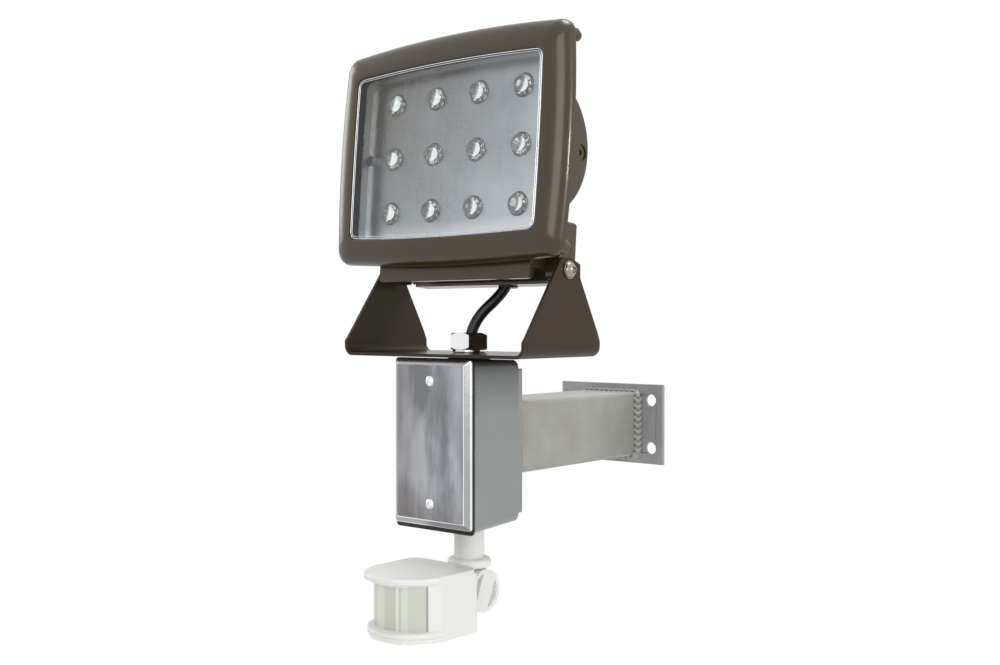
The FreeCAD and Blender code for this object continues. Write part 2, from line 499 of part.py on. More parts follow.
# ---- yoke ------------------------------------------------------------------------------------
def u_strip():
    """The bent strip before its ears are cut to shape."""
    outer_r = YOKE_BEND_R + YOKE_SHEET
    top = PIVOT.z + EAR_TOP_ABOVE_PIVOT
    y = HUB_Y - YOKE_DEPTH / 2

    def profile(half, low, radius):
        bend = V(half - radius, y, low + radius)
        k = radius * math.sqrt(0.5)
        right = [Part.Arc(V(half - radius, y, low), bend + V(k, 0, -k), V(half, y, low + radius)).toShape(),
                 Part.makeLine(V(half, y, low + radius), V(half, y, top))]
        left = [Part.makeLine(V(-half, y, top), V(-half, y, low + radius)),
                Part.Arc(V(-half, y, low + radius), V(-half + radius - k, y, low + radius - k),
                         V(radius - half, y, low)).toShape()]
        base = Part.makeLine(V(radius - half, y, low), V(half - radius, y, low))
        lid = Part.makeLine(V(half, y, top), V(-half, y, top))
        return Part.Face(Part.Wire(left + [base] + right + [lid])).extrude(V(0, YOKE_DEPTH, 0))
    return profile(EAR_OUTSIDE, YOKE_BOTTOM, outer_r).cut(profile(EAR_INSIDE, YOKE_TOP, YOKE_BEND_R))


def yoke_bracket():
    front, back = HUB_Y - YOKE_DEPTH / 2, HUB_Y + YOKE_DEPTH / 2
    shoulder = YOKE_BOTTOM + EAR_SHOULDER
    top = PIVOT.z + EAR_TOP_ABOVE_PIVOT
    ear_front, ear_back = PIVOT.y - EAR_TOP_FRONT, PIVOT.y + EAR_TOP_BACK
    outline = ((front, YOKE_BOTTOM), (back, YOKE_BOTTOM), (back, shoulder),
               (back - EAR_BACK_SLOPE[0], shoulder + EAR_BACK_SLOPE[1]),
               (ear_back, PIVOT.z - EAR_BACK_BEND), (ear_back, top - EAR_BACK_CORNER[1]),
               (ear_back - EAR_BACK_CORNER[0], top), (ear_front + EAR_FRONT_CORNER[0], top),
               (ear_front, top - EAR_FRONT_CORNER[1]),
               (front + EAR_FRONT_SLOPE[0], shoulder + EAR_FRONT_SLOPE[1]), (front, shoulder))
    side = [V(-BEYOND, y, z) for y, z in outline]
    yoke = u_strip().common(prism(side, V(2 * BEYOND, 0, 0)))
    yoke = yoke.cut(rod(GLAND_R + HOLE_GAP, V(0, HUB_Y, YOKE_BOTTOM), Z_AXIS, YOKE_SHEET))
    return yoke.cut(rod(PIVOT_R + HOLE_GAP, PIVOT + V(-BEYOND, 0, 0), X_AXIS, 2 * BEYOND))


def pivot_washers():
    return mirrored(ring(WASHER_R, PIVOT_R + HOLE_GAP, PIVOT + V(EAR_OUTSIDE, 0, 0), X_AXIS, WASHER_THICK))


def pivot_bolts():
    """Button-head bolts through the ears into the head's lugs."""
    under_head = EAR_OUTSIDE + WASHER_THICK + GAP
    inner_end = EAR_INSIDE - GAP - PIVOT_LUG_DEPTH / 2
    shank = rod(PIVOT_R, PIVOT + V(inner_end, 0, 0), X_AXIS, under_head - inner_end)
    dome_r = (PIVOT_HEAD_R ** 2 + PIVOT_HEAD ** 2) / (2 * PIVOT_HEAD)
    ball = Part.makeSphere(dome_r, PIVOT + V(under_head + PIVOT_HEAD - dome_r, 0, 0))
    head = ball.common(rod(PIVOT_HEAD_R, PIVOT + V(under_head, 0, 0), X_AXIS, PIVOT_HEAD))
    socket = hexagon(PIVOT_SOCKET, V(0, 0, 0), PIVOT_SOCKET_DEPTH + CUT)
    socket.rotate(V(0, 0, 0), Y_AXIS, 90)
    socket.translate(PIVOT + V(under_head + PIVOT_HEAD - PIVOT_SOCKET_DEPTH, 0, 0))
    return mirrored(shank.fuse(head.cut(socket)))


# ---- floodlight head -------------------------------------------------------------------------
def frame_section():
    """How deep the frame's face is at each share of the way from its outside to the opening."""
    section = [(0.0, FRAME_BACK), (0.0, FRAME_EDGE)]
    for i in range(1, FRAME_STEPS + 1):
        share = (i / FRAME_STEPS) ** 1.5
        rise = (1 - (1 - share) ** FRAME_SWELL) ** (1 / FRAME_SWELL)
        section.append((share, FRAME_EDGE + (FRAME_CROWN - FRAME_EDGE) * rise))
    return section


def front_frame():
    frame = loft([pillow(blend(FRAME_OUTLINE, OPENING_OUTLINE, share), depth)
                  for share, depth in frame_section()])
    seat = FACE_SEAT
    frame = frame.cut(pillow_slab(OPENING_OUTLINE, 0, FRAME_CROWN + CUT))
    frame = frame.cut(pillow_slab(grown(OPENING_OUTLINE, GLASS_OVERLAP + GLASS_GAP), 0, GLASS_FRONT))
    frame = frame.cut(pillow_slab(grown(FRAME_OUTLINE, -RIM_INSET + GLASS_GAP), 0, seat))
    for x in (-CORNER_SCREW_X, CORNER_SCREW_X):
        for z in (-CORNER_SCREW_Z, CORNER_SCREW_Z):
            frame = frame.cut(rod(CORNER_SCREW_R + THREAD_GAP, at_depth(x, 0, z), -Y_AXIS,
                                  seat + CORNER_SCREW_REACH))
    return frame


def lens_glass():
    return pillow_slab(grown(OPENING_OUTLINE, GLASS_OVERLAP), GLASS_BACK, GLASS_FRONT)


def lens_gasket():
    outer = grown(OPENING_OUTLINE, GLASS_OVERLAP)
    ring_solid = pillow_slab(outer, FACE_SEAT, GLASS_BACK)
    return ring_solid.cut(pillow_slab(grown(outer, -LENS_SEAL_WIDTH), FACE_SEAT - CUT, GLASS_BACK + CUT))


def drum(radius, half_length):
    """A half cylinder lying along X behind the rim."""
    whole = rod(radius, at_depth(-half_length, DRUM_AXIS_DEPTH, 0), X_AXIS, 2 * half_length)
    return whole.common(depth_block(half_length, DRUM_AXIS_DEPTH - radius, DRUM_AXIS_DEPTH, -radius, radius))


def chamber(inset, top_front, top_rear):
    """The wiring chamber under the drum: a wide front part and a narrower rear part."""
    front = depth_block(CHAMBER_HALF_X - inset, CHAMBER_STEP + inset, CHAMBER_FRONT - inset,
                        CHAMBER_FRONT_BOTTOM, top_front)
    rear = depth_block(CHAMBER_REAR_HALF_X - inset, CHAMBER_BACK + inset, CHAMBER_STEP + 2 * inset,
                       CHAMBER_BOTTOM, top_rear)
    return front.fuse(rear)


def pivot_lugs():
    """Lugs on the chamber's ends, rounded under the pivot."""
    outer = EAR_INSIDE - GAP
    inner = outer - PIVOT_LUG_DEPTH
    radius = (PIVOT_LUG_FRONT - PIVOT_LUG_BACK) / 2
    middle = (PIVOT_LUG_FRONT + PIVOT_LUG_BACK) / 2
    lug = block(inner, outer, FACE_Y - PIVOT_LUG_FRONT, FACE_Y - PIVOT_LUG_BACK, PIVOT.z,
                FACE_Z + PIVOT_LUG_TOP)
    rear_top = [e for e in lug.Edges if abs(e.Vertexes[0].Point.z - e.Vertexes[1].Point.z) < 0.01
                and e.Vertexes[0].Point.z > FACE_Z + PIVOT_LUG_TOP - 0.01]
    lug = lug.makeFillet(PIVOT_LUG_EDGE_R, rear_top)
    lug = lug.fuse(rod(radius, V(inner, FACE_Y - middle, PIVOT.z), X_AXIS, PIVOT_LUG_DEPTH))
    below = block(inner - CUT, outer + CUT, FACE_Y - PIVOT_LUG_FRONT - CUT, FACE_Y - PIVOT_LUG_BACK + CUT,
                  PIVOT.z - 2 * radius, PIVOT.z - PIVOT_LUG_LOW)
    return mirrored(lug.cut(below))


def rear_housing():
    pan_outline = grown(OPENING_OUTLINE, PAN_ROOM + PAN_WALL)
    rim = pillow_slab(grown(FRAME_OUTLINE, -RIM_INSET), FACE_SEAT - RIM_THICK, FACE_SEAT)
    pan = pillow_slab(pan_outline, PAN_BACK, FACE_SEAT)
    body = drum(DRUM_R, DRUM_HALF_LENGTH)
    round_edges = [e for e in body.Edges if e.Curve.TypeId == "Part::GeomCircle"]
    body = body.makeFillet(DRUM_EDGE_R, round_edges)
    bosses = []
    for x in (-CORNER_SCREW_X, CORNER_SCREW_X):
        for z in (-CORNER_SCREW_Z, CORNER_SCREW_Z):
            boss = rod(CORNER_BOSS_R, at_depth(x, FRAME_BACK - GAP, z), Y_AXIS, CORNER_BOSS)
            outer_edge = [e for e in boss.Edges if e.Curve.TypeId == "Part::GeomCircle"
                          and e.CenterOfMass.y > FACE_Y - FRAME_BACK + CORNER_BOSS / 2]
            bosses.append(boss.makeFillet(CORNER_BOSS_EDGE_R, outer_edge))
    apron = slab(CHAMBER_HALF_X, FACE_Z + APRON_BOTTOM, FACE_Z + APRON_TOP, APRON_CORNER_R,
                 FACE_Y - CHAMBER_FRONT, FACE_Y - CHAMBER_FRONT + APRON_THICK)
    shell = rim.fuse(pan).fuse(body).fuse(chamber(0, CHAMBER_FRONT_TOP, CHAMBER_REAR_TOP)).fuse(apron)
    for lug in pivot_lugs().Solids:
        shell = shell.fuse(lug)
    for boss in bosses:
        shell = shell.fuse(boss)

    hollow = drum(DRUM_R - DRUM_WALL, DRUM_HALF_LENGTH - DRUM_WALL)
    mouth = pillow_slab(grown(OPENING_OUTLINE, PAN_ROOM), PAN_BACK + PAN_WALL, FACE_SEAT)
    window = depth_block(DRUM_HALF_LENGTH - DRUM_WALL, PAN_BACK - CUT, PAN_BACK + PAN_WALL + CUT,
                         -DRIVER_WINDOW, DRIVER_WINDOW)
    wires_top = depth_block(CHAMBER_REAR_HALF_X - CHAMBER_WALL, CHAMBER_BACK + CHAMBER_WALL,
                            CHAMBER_STEP - CHAMBER_WALL, CHAMBER_BOTTOM - CUT, REAR_ROOM_TOP)
    front_room = depth_block(CHAMBER_REAR_HALF_X - CHAMBER_WALL, CHAMBER_STEP - CHAMBER_WALL - CUT,
                             CHAMBER_FRONT - CHAMBER_WALL - PAN_WALL,
                             CHAMBER_FRONT_BOTTOM + CHAMBER_WALL, FRONT_ROOM_TOP)
    shell = shell.cut(hollow).cut(mouth).cut(window).cut(wires_top).cut(front_room)
    shell = shell.cut(rod(WIRE_PASSAGE_R, at_depth(0, WIRE_PASSAGE_DEPTH, WIRE_PASSAGE_LOW), Z_AXIS,
                          WIRE_PASSAGE))
    for x in (-CORNER_SCREW_X, CORNER_SCREW_X):
        for z in (-CORNER_SCREW_Z, CORNER_SCREW_Z):
            hole = rod(CORNER_SCREW_R + GAP, at_depth(x, FACE_SEAT + CUT, z), Y_AXIS,
                       CORNER_BOSS + FACE_SEAT + 2 * CUT)
            shell = shell.cut(hole)
    for side in (-1, 1):
        end = side * DRUM_HALF_LENGTH
        out = V(side, 0, 0)
        shell = shell.cut(rod(VENT_R, at_depth(end - VENT_SINK * side, VENT_DEPTH, 0), out, 2 * VENT_SINK))
        shell = shell.cut(rod(VENT_HOLE_R, at_depth(end - 2 * VENT_SINK * side, VENT_DEPTH, 0), out,
                              3 * VENT_SINK))
        lug_face = side * (EAR_INSIDE - GAP - PIVOT_LUG_DEPTH)
        shell = shell.cut(rod(PIVOT_R + THREAD_GAP, PIVOT + V(lug_face, 0, 0), out, PIVOT_LUG_DEPTH))
    for x in (-WIRE_COVER_SCREW_X, WIRE_COVER_SCREW_X):
        pad = block(x - WIRE_PAD_HALF, x + WIRE_PAD_HALF,
                    FACE_Y - CHAMBER_STEP + CHAMBER_WALL - WIRE_PAD_INTO_WALL,
                    FACE_Y - CHAMBER_BACK - WIRE_PAD_INTO_WALL,
                    FACE_Z + CHAMBER_BOTTOM, FACE_Z + CHAMBER_BOTTOM + WIRE_PAD_HEIGHT)
        hole = rod(WIRE_COVER_SCREW_R + THREAD_GAP, at_depth(x, WIRE_COVER_MIDDLE, CHAMBER_BOTTOM - CUT),
                   Z_AXIS, WIRE_PAD_HEIGHT)
        shell = shell.fuse(pad).cut(hole)
    return shell


def wiring_cover():
    low, high = CHAMBER_BOTTOM - WIRE_COVER_THICK, CHAMBER_BOTTOM
    plate = depth_block(WIRE_COVER_HALF_X, CHAMBER_BACK, CHAMBER_STEP, low, high)
    corners = [e for e in plate.Edges if abs(e.Vertexes[0].Point.z - e.Vertexes[1].Point.z) > 1]
    plate = plate.makeFillet(WIRE_COVER_CORNER_R, corners)
    for x in (-WIRE_COVER_SCREW_X, WIRE_COVER_SCREW_X):
        foot = at_depth(x, WIRE_COVER_MIDDLE, low)
        plate = plate.cut(rod(WIRE_COVER_SCREW_R + THREAD_GAP, foot, Z_AXIS, WIRE_COVER_THICK))
        plate = plate.cut(rod(WIRE_COVER_SCREW_HEAD_R + THREAD_GAP, foot, Z_AXIS, WIRE_COVER_SCREW_HEAD))
    return plate.cut(rod(BUSHING_R + THREAD_GAP, cable_entry(), Z_AXIS, WIRE_COVER_THICK))


def wiring_cover_screws():
    """Flat heads, flush with the cover."""
    screws = []
    for x in (-WIRE_COVER_SCREW_X, WIRE_COVER_SCREW_X):
        foot = at_depth(x, WIRE_COVER_MIDDLE, CHAMBER_BOTTOM - WIRE_COVER_THICK)
        shank = rod(WIRE_COVER_SCREW_R, foot, Z_AXIS, WIRE_COVER_SCREW)
        screws.append(shank.fuse(rod(WIRE_COVER_SCREW_HEAD_R, foot, Z_AXIS, WIRE_COVER_SCREW_HEAD)))
    return Part.makeCompound(screws)


def cable_entry():
    """Where the cable's last straight run passes the wiring cover, in the head's upright frame."""
    end = cable_points()[-1]
    upright = PIVOT + FreeCAD.Rotation(X_AXIS, REST_TILT).multVec(end - PIVOT)
    return V(upright.x, upright.y, FACE_Z + CHAMBER_BOTTOM - WIRE_COVER_THICK)


def cable_bushing():
    """A bushing snapped into the wiring cover, bored along the cable's own route."""
    foot = cable_entry()
    body = rod(BUSHING_R, foot, Z_AXIS, WIRE_COVER_THICK + BUSHING_GRIP)
    body = body.fuse(rod(BUSHING_FLANGE_R, foot - V(0, 0, BUSHING_FLANGE), Z_AXIS, BUSHING_FLANGE))
    return tilted(body).cut(along_cable(CABLE_R + GAP)[0])


def frame_screws():
    screws = []
    back = FRAME_BACK - GAP - CORNER_BOSS
    for x in (-CORNER_SCREW_X, CORNER_SCREW_X):
        for z in (-CORNER_SCREW_Z, CORNER_SCREW_Z):
            shank = rod(CORNER_SCREW_R, at_depth(x, back, z), -Y_AXIS, CORNER_BOSS + CORNER_SCREW_REACH)
            head = rod(CORNER_SCREW_HEAD_R, at_depth(x, back, z), Y_AXIS, CORNER_SCREW_HEAD)
            screws.append(shank.fuse(head))
    return Part.makeCompound(screws)


def led_places():
    for row in range(LED_ROWS):
        for column in range(LED_COLUMNS):
            yield ((column - (LED_COLUMNS - 1) / 2) * LED_PITCH_X, (row - (LED_ROWS - 1) / 2) * LED_PITCH_Z)


def reflector_tray():
    """A bright sheet pan with a hole for each lens."""
    outline = grown(OPENING_OUTLINE, PAN_ROOM - TRAY_GAP)
    rim = FACE_SEAT - GAP
    pan = loft([pillow(grown(outline, -TRAY_DRAFT), TRAY_BACK), pillow(outline, rim)])
    inside = loft([pillow(grown(outline, -TRAY_DRAFT - TRAY_SHEET), TRAY_FLOOR),
                   pillow(grown(outline, -TRAY_SHEET), rim)])
    pan = pan.cut(inside)
    for x, z in led_places():
        pan = pan.cut(rod(LED_HOLE_R, at_depth(x, TRAY_BACK - CUT, z), -Y_AXIS, TRAY_SHEET + 2 * CUT))
    for x in (-TRAY_SCREW_X, TRAY_SCREW_X):
        pan = pan.cut(rod(TRAY_SCREW_R + THREAD_GAP, at_depth(x, TRAY_BACK - CUT, 0), -Y_AXIS,
                          TRAY_SHEET + 2 * CUT))
    return pan


def tray_screws():
    """Standing posts that hold the tray at its two ends."""
    posts = []
    for x in (-TRAY_SCREW_X, TRAY_SCREW_X):
        post = rod(TRAY_SCREW_HEAD_R, at_depth(x, TRAY_FLOOR, 0), -Y_AXIS, TRAY_POST)
        shank = rod(TRAY_SCREW_R, at_depth(x, MOUNT_BACK, 0), -Y_AXIS, TRAY_FLOOR - MOUNT_BACK)
        posts.append(post.fuse(shank))
    return Part.makeCompound(posts)


def led_board():
    board = depth_block(BOARD_HALF_X, BOARD_BACK, TRAY_BACK, -BOARD_HALF_Z, BOARD_HALF_Z)
    return board


def led_chips():
    half = CHIP_SIDE / 2
    return Part.makeCompound([
        block(x - half, x + half, FACE_Y - TRAY_BACK - CHIP_THICK, FACE_Y - TRAY_BACK,
              FACE_Z + z - half, FACE_Z + z + half) for x, z in led_places()])


def led_lenses():
    """Clear domes on the board, each with a pocket over its chip."""
    lenses = []
    for x, z in led_places():
        base = rod(LED_LENS_R, at_depth(x, TRAY_BACK, z), -Y_AXIS, LED_BASE)
        centre = at_depth(x, TRAY_BACK + LED_BASE - LED_DOME_SUNK, z)
        dome = Part.makeSphere(LED_DOME_R, centre).common(
            rod(LED_LENS_R, at_depth(x, TRAY_BACK + LED_BASE / 2, z), -Y_AXIS, 2 * LED_DOME_R))
        pocket = rod(CHIP_POCKET_R, at_depth(x, TRAY_BACK, z), -Y_AXIS, CHIP_THICK + CHIP_ROOM)
        lenses.append(base.fuse(dome).cut(pocket))
    return Part.makeCompound(lenses)


def led_mount_plate():
    plate = pillow_slab(grown(OPENING_OUTLINE, -GLASS_GAP), MOUNT_BACK, BOARD_BACK)
    for x in (-TRAY_SCREW_X, TRAY_SCREW_X):
        plate = plate.cut(rod(TRAY_SCREW_R + THREAD_GAP, at_depth(x, MOUNT_BACK - CUT, 0), -Y_AXIS,
                              MOUNT_PLATE_THICK + 2 * CUT))
    return plate


def led_driver():
    """A potted driver case fixed to the back of the mounting plate."""
    case = depth_block(DRIVER_LENGTH / 2, MOUNT_BACK - DRIVER_DEPTH, MOUNT_BACK,
                       -DRIVER_HEIGHT / 2, DRIVER_HEIGHT / 2)
    long_edges = [e for e in case.Edges
                  if abs(e.Vertexes[0].Point.x - e.Vertexes[1].Point.x) > DRIVER_LENGTH / 2
                  and e.CenterOfMass.y > FACE_Y - MOUNT_BACK + DRIVER_DEPTH / 2]
    return case.makeFillet(DRIVER_EDGE_R, long_edges)


def cable_points():
    return [V(x, HUB_Y + y, YOKE_BOTTOM + z) for x, y, z in CABLE_POINTS]


def cable_path():
    """Straight runs joined by arcs that touch them, through the listed points."""
    points = cable_points()
    edges, radii, here = [], [], points[0]
    for before, corner, after in zip(points, points[1:], points[2:]):
        inward, outward = corner - before, after - corner
        turn = inward.getAngle(outward)
        reach = CABLE_ARC_SHARE * min(inward.Length, outward.Length)
        radii.append(reach / math.tan(turn / 2))
        inward.normalize()
        outward.normalize()
        start, end = corner - inward * reach, corner + outward * reach
        bisector = outward - inward
        bisector.normalize()
        middle = corner + bisector * (radii[-1] / math.cos(turn / 2) - radii[-1])
        edges += [Part.makeLine(here, start), Part.Arc(start, middle, end).toShape()]
        here = end
    edges.append(Part.makeLine(here, points[-1]))
    return Part.Wire(edges), radii


def along_cable(radius):
    """A round bar of this radius along the cable's route, with the route's length and radii."""
    path, radii = cable_path()
    circle = Part.Wire(Part.makeCircle(radius, path.Edges[0].Vertexes[0].Point, Z_AXIS))
    return path.makePipeShell([circle], True, False), path.Length, radii


def head_cable():
    tube, length, radii = along_cable(CABLE_R)
    print("cable radii", [round(r, 1) for r in radii], "volume over section times length",
          round(tube.Volume / (math.pi * CABLE_R ** 2 * length), 4))
    return tube


# ---- sensor ----------------------------------------------------------------------------------
def sensor_stem():
    low = COLLAR_BOTTOM + COLLAR_FLOOR + GAP
    return ring(STEM_R, STEM_BORE_R, V(0, HUB_Y, low), Z_AXIS, STEM_TOP - low)


def sensor_locknut():
    floor = HUB_BOTTOM + HUB_DEPTH
    nut = hexagon(LOCKNUT_ACROSS_FLATS, V(0, HUB_Y, floor), LOCKNUT_THICK)
    return nut.cut(rod(STEM_R + THREAD_GAP, V(0, HUB_Y, floor), Z_AXIS, LOCKNUT_THICK))


def swivel_neck():
    """A collar that turns on the stem, over two cheeks that hold the sensor's tongue."""
    collar = rod(COLLAR_R, V(0, HUB_Y, COLLAR_BOTTOM), Z_AXIS, COLLAR_TOP - COLLAR_BOTTOM)
    collar = collar.makeFillet(COLLAR_EDGE_R, [e for e in collar.Edges
                                               if e.Curve.TypeId == "Part::GeomCircle"])
    barrel = rod(KNUCKLE_R, KNUCKLE + V(-KNUCKLE_HALF, 0, 0), X_AXIS, KNUCKLE_HALF + CHEEK_OUTSIDE)
    barrel_edge = [e for e in barrel.Edges if e.Curve.TypeId == "Part::GeomCircle"
                   and e.CenterOfMass.x < 0]
    barrel = barrel.makeFillet(KNUCKLE_EDGE_R, barrel_edge)
    slot_half = TONGUE_HALF + TONGUE_GAP
    reach = 2 * KNUCKLE_R
    slot = block(-slot_half, slot_half, HUB_Y - reach, HUB_Y + reach, KNUCKLE_Z - reach, COLLAR_BOTTOM)
    column = block(NECK_SIDE_IN - KNUCKLE_HALF, CHEEK_OUTSIDE, HUB_Y - NECK_HALF, HUB_Y + NECK_HALF,
                   KNUCKLE_Z, COLLAR_BOTTOM + COLLAR_FLOOR / 2)
    neck = collar.fuse(barrel.fuse(column).cut(slot))
    bore_low = COLLAR_BOTTOM + COLLAR_FLOOR
    neck = neck.cut(rod(STEM_R + HOLE_GAP, V(0, HUB_Y, bore_low), Z_AXIS, COLLAR_TOP - bore_low + CUT))
    neck = neck.cut(rod(CLAMP_R + HOLE_GAP, KNUCKLE + V(NECK_SIDE_IN - KNUCKLE_HALF, 0, 0),
                       X_AXIS, 3 * KNUCKLE_HALF))
    nut_seat = KNUCKLE + V(-TONGUE_HALF - TONGUE_GAP - CLAMP_NUT_THICK, 0, 0)
    return neck.cut(rod(CLAMP_NUT_R + THREAD_GAP, nut_seat, X_AXIS, CLAMP_NUT_THICK))


def clamp_nut():
    start = KNUCKLE + V(-TONGUE_HALF - TONGUE_GAP - CLAMP_NUT_THICK, 0, 0)
    return ring(CLAMP_NUT_R, CLAMP_R + CLAMP_FIT, start, X_AXIS, CLAMP_NUT_THICK)


def clamp_knob():
    """A round knob with a finger bar across its recessed face, on the clamp screw."""
    inner = CHEEK_OUTSIDE + GAP
    disc = rod(KNUCKLE_R, KNUCKLE + V(inner, 0, 0), X_AXIS, KNUCKLE_HALF - inner)
    floor = KNUCKLE_HALF - KNOB_RECESS
    recess = rod(KNUCKLE_R - KNOB_RIM, KNUCKLE + V(floor, 0, 0), X_AXIS, KNOB_RECESS)
    bar = block(floor, KNUCKLE_HALF, HUB_Y - KNOB_BAR / 2, HUB_Y + KNOB_BAR / 2,
                KNUCKLE_Z - KNUCKLE_R, KNUCKLE_Z + KNUCKLE_R)
    bar.rotate(KNUCKLE, X_AXIS, -KNOB_BAR_TILT)
    knob = disc.cut(recess.cut(bar))
    screw_end = CLAMP_END - KNUCKLE_HALF
    return knob.fuse(rod(CLAMP_R, KNUCKLE + V(screw_end, 0, 0), X_AXIS, inner - screw_end + CUT))


def sensor_plan(inset, z):
    """The sensor's plan outline: square back, sloped shoulders and a bowed front."""
    half, corner = SENSOR_HALF_WIDTH - inset, SENSOR_CORNER_HALF - inset * 0.7
    back = HUB_Y - SENSOR_BACK - inset
    shoulder = HUB_Y - SENSOR_SHOULDER + inset * 0.4
    corner_y = HUB_Y - SENSOR_CORNER + inset * 0.9
    front = HUB_Y - SENSOR_FRONT + inset
    r = max(SENSOR_BACK_R - inset, 1.0)
    k = r * (1 - math.sqrt(0.5))
    edges = [
        Part.makeLine(V(half, back - r, z), V(half, shoulder, z)),
        Part.makeLine(V(half, shoulder, z), V(corner, corner_y, z)),
        Part.Arc(V(corner, corner_y, z), V(0, front, z), V(-corner, corner_y, z)).toShape(),
        Part.makeLine(V(-corner, corner_y, z), V(-half, shoulder, z)),
        Part.makeLine(V(-half, shoulder, z), V(-half, back - r, z)),
        Part.Arc(V(-half, back - r, z), V(k - half, back - k, z), V(r - half, back, z)).toShape(),
        Part.makeLine(V(r - half, back, z), V(half - r, back, z)),
        Part.Arc(V(half - r, back, z), V(half - k, back - k, z), V(half, back - r, z)).toShape(),
    ]
    return Part.Face(Part.Wire(edges))


def lens_sector(inner, outer, z0, z1, half_angle=None):
    """Part of a ring about the sensor lens's axis, open towards the back."""
    half_angle = half_angle or LENS_HALF_ANGLE
    centre = V(0, HUB_Y - LENS_AXIS, z0)
    solid = Part.makeCylinder(outer, z1 - z0, centre, Z_AXIS, 2 * half_angle)
    solid.rotate(centre, Z_AXIS, -90 - half_angle)
    if inner:
        solid = solid.cut(rod(inner, centre, Z_AXIS, z1 - z0))
    return solid


def sensor_body():
    outside = sensor_plan(0, SENSOR_SEAM).extrude(V(0, 0, SENSOR_TOP - SENSOR_SEAM))
    room = sensor_plan(SENSOR_WALL, SENSOR_SEAM).extrude(V(0, 0, LENS_TOP - SENSOR_SEAM))
    shell = outside.cut(room)
    shell = shell.cut(lens_sector(0, 2 * LENS_R, LENS_BOTTOM, LENS_TOP))
    sill = lens_sector(LENS_R - SILL_IN, 2 * LENS_R, LENS_BOTTOM - SILL_THICK, LENS_BOTTOM).common(outside)
    shell = shell.fuse(sill)
    back = HUB_Y - SENSOR_BACK
    arm = block(-TONGUE_HALF, TONGUE_HALF, back - SENSOR_WALL / 2, HUB_Y, KNUCKLE_Z - TONGUE_ARM_HALF,
                KNUCKLE_Z + TONGUE_ARM_HALF)
    eye = rod(TONGUE_R, KNUCKLE + V(-TONGUE_HALF, 0, 0), X_AXIS, 2 * TONGUE_HALF)
    shell = shell.fuse(arm.fuse(eye))
    return shell.cut(rod(CLAMP_R + HOLE_GAP, KNUCKLE + V(-TONGUE_HALF, 0, 0), X_AXIS, 2 * TONGUE_HALF))


def sensor_hood():
    """The brow over the lens: a round front run back into a rounded square."""
    z = SENSOR_TOP
    height = HOOD_TOP - SENSOR_TOP
    centre = V(0, HUB_Y - HOOD_AXIS, z)
    front = rod(HOOD_R, centre, Z_AXIS, height)
    front = front.common(block(-HOOD_HALF_WIDTH, HOOD_HALF_WIDTH, centre.y - 2 * HOOD_R,
                               centre.y + 2 * HOOD_R, z, HOOD_TOP))
    back = block(-HOOD_HALF_WIDTH, HOOD_HALF_WIDTH, centre.y, HUB_Y - SENSOR_BACK, z, HOOD_TOP)
    corners = [e for e in back.Edges if abs(e.Vertexes[0].Point.z - e.Vertexes[1].Point.z) > 1
               and e.CenterOfMass.y > centre.y + 1]
    back = back.makeFillet(HOOD_BACK_R, corners)
    hood = front.fuse(back).removeSplitter()
    return hood.makeFillet(HOOD_EDGE_R, edges_at(hood, lambda p: p.z > HOOD_TOP - 0.01))


def sensor_lens():
    return lens_sector(LENS_R - LENS_SHEET, LENS_R, LENS_BOTTOM, LENS_TOP, LENS_HALF_ANGLE - LENS_FIT)


def sensor_bottom_cover():
    plate = sensor_plan(0, SENSOR_BOTTOM).extrude(V(0, 0, SENSOR_SEAM - SENSOR_BOTTOM))
    for x in (-DIAL_X, DIAL_X):
        start = V(x, HUB_Y - DIAL_AHEAD, SENSOR_BOTTOM)
        plate = plate.cut(rod(DIAL_R + HOLE_GAP, start, Z_AXIS, SENSOR_SEAM - SENSOR_BOTTOM))
    return plate


def sensor_board():
    y = HUB_Y - BOARD_AHEAD
    return block(-SENSOR_BOARD_HALF, SENSOR_BOARD_HALF, y, y + SENSOR_BOARD_THICK, SENSOR_SEAM,
                 LENS_TOP - SENSOR_BOARD_SHORT)


def infrared_element():
    start = V(0, HUB_Y - BOARD_AHEAD, (LENS_TOP + LENS_BOTTOM) / 2)
    can = rod(ELEMENT_R, start, -Y_AXIS, ELEMENT_LENGTH)
    return can.fuse(rod(ELEMENT_R + ELEMENT_BRIM, start, -Y_AXIS, ELEMENT_BRIM))


def adjuster_bodies():
    """The two potentiometers behind the board, over the dials."""
    half = ADJUSTER_SIDE / 2
    front = HUB_Y - BOARD_AHEAD + SENSOR_BOARD_THICK
    low = SENSOR_SEAM
    pots = []
    for x in (-DIAL_X, DIAL_X):
        case = block(x - half, x + half, front, HUB_Y - DIAL_AHEAD + half, low + GAP, low + ADJUSTER_HEIGHT)
        pots.append(case.cut(rod(DIAL_SHAFT_R + HOLE_GAP, V(x, HUB_Y - DIAL_AHEAD, low), Z_AXIS,
                                  DIAL_SHAFT + CUT / 2)))
    return Part.makeCompound(pots)


def dial(x):
    """A slotted dial, flush in the bottom cover."""
    centre = V(x, HUB_Y - DIAL_AHEAD, SENSOR_BOTTOM)
    shaft = rod(DIAL_SHAFT_R, centre, Z_AXIS, DIAL_THICK + DIAL_SHAFT)
    body = rod(DIAL_R, centre, Z_AXIS, DIAL_THICK).fuse(shaft)
    half = DIAL_R - DIAL_SLOT_SHORT
    slot = block(x - half, x + half, centre.y - DIAL_SLOT, centre.y + DIAL_SLOT, SENSOR_BOTTOM,
                 SENSOR_BOTTOM + DIAL_SLOT_DEPTH)
    return body.cut(slot)


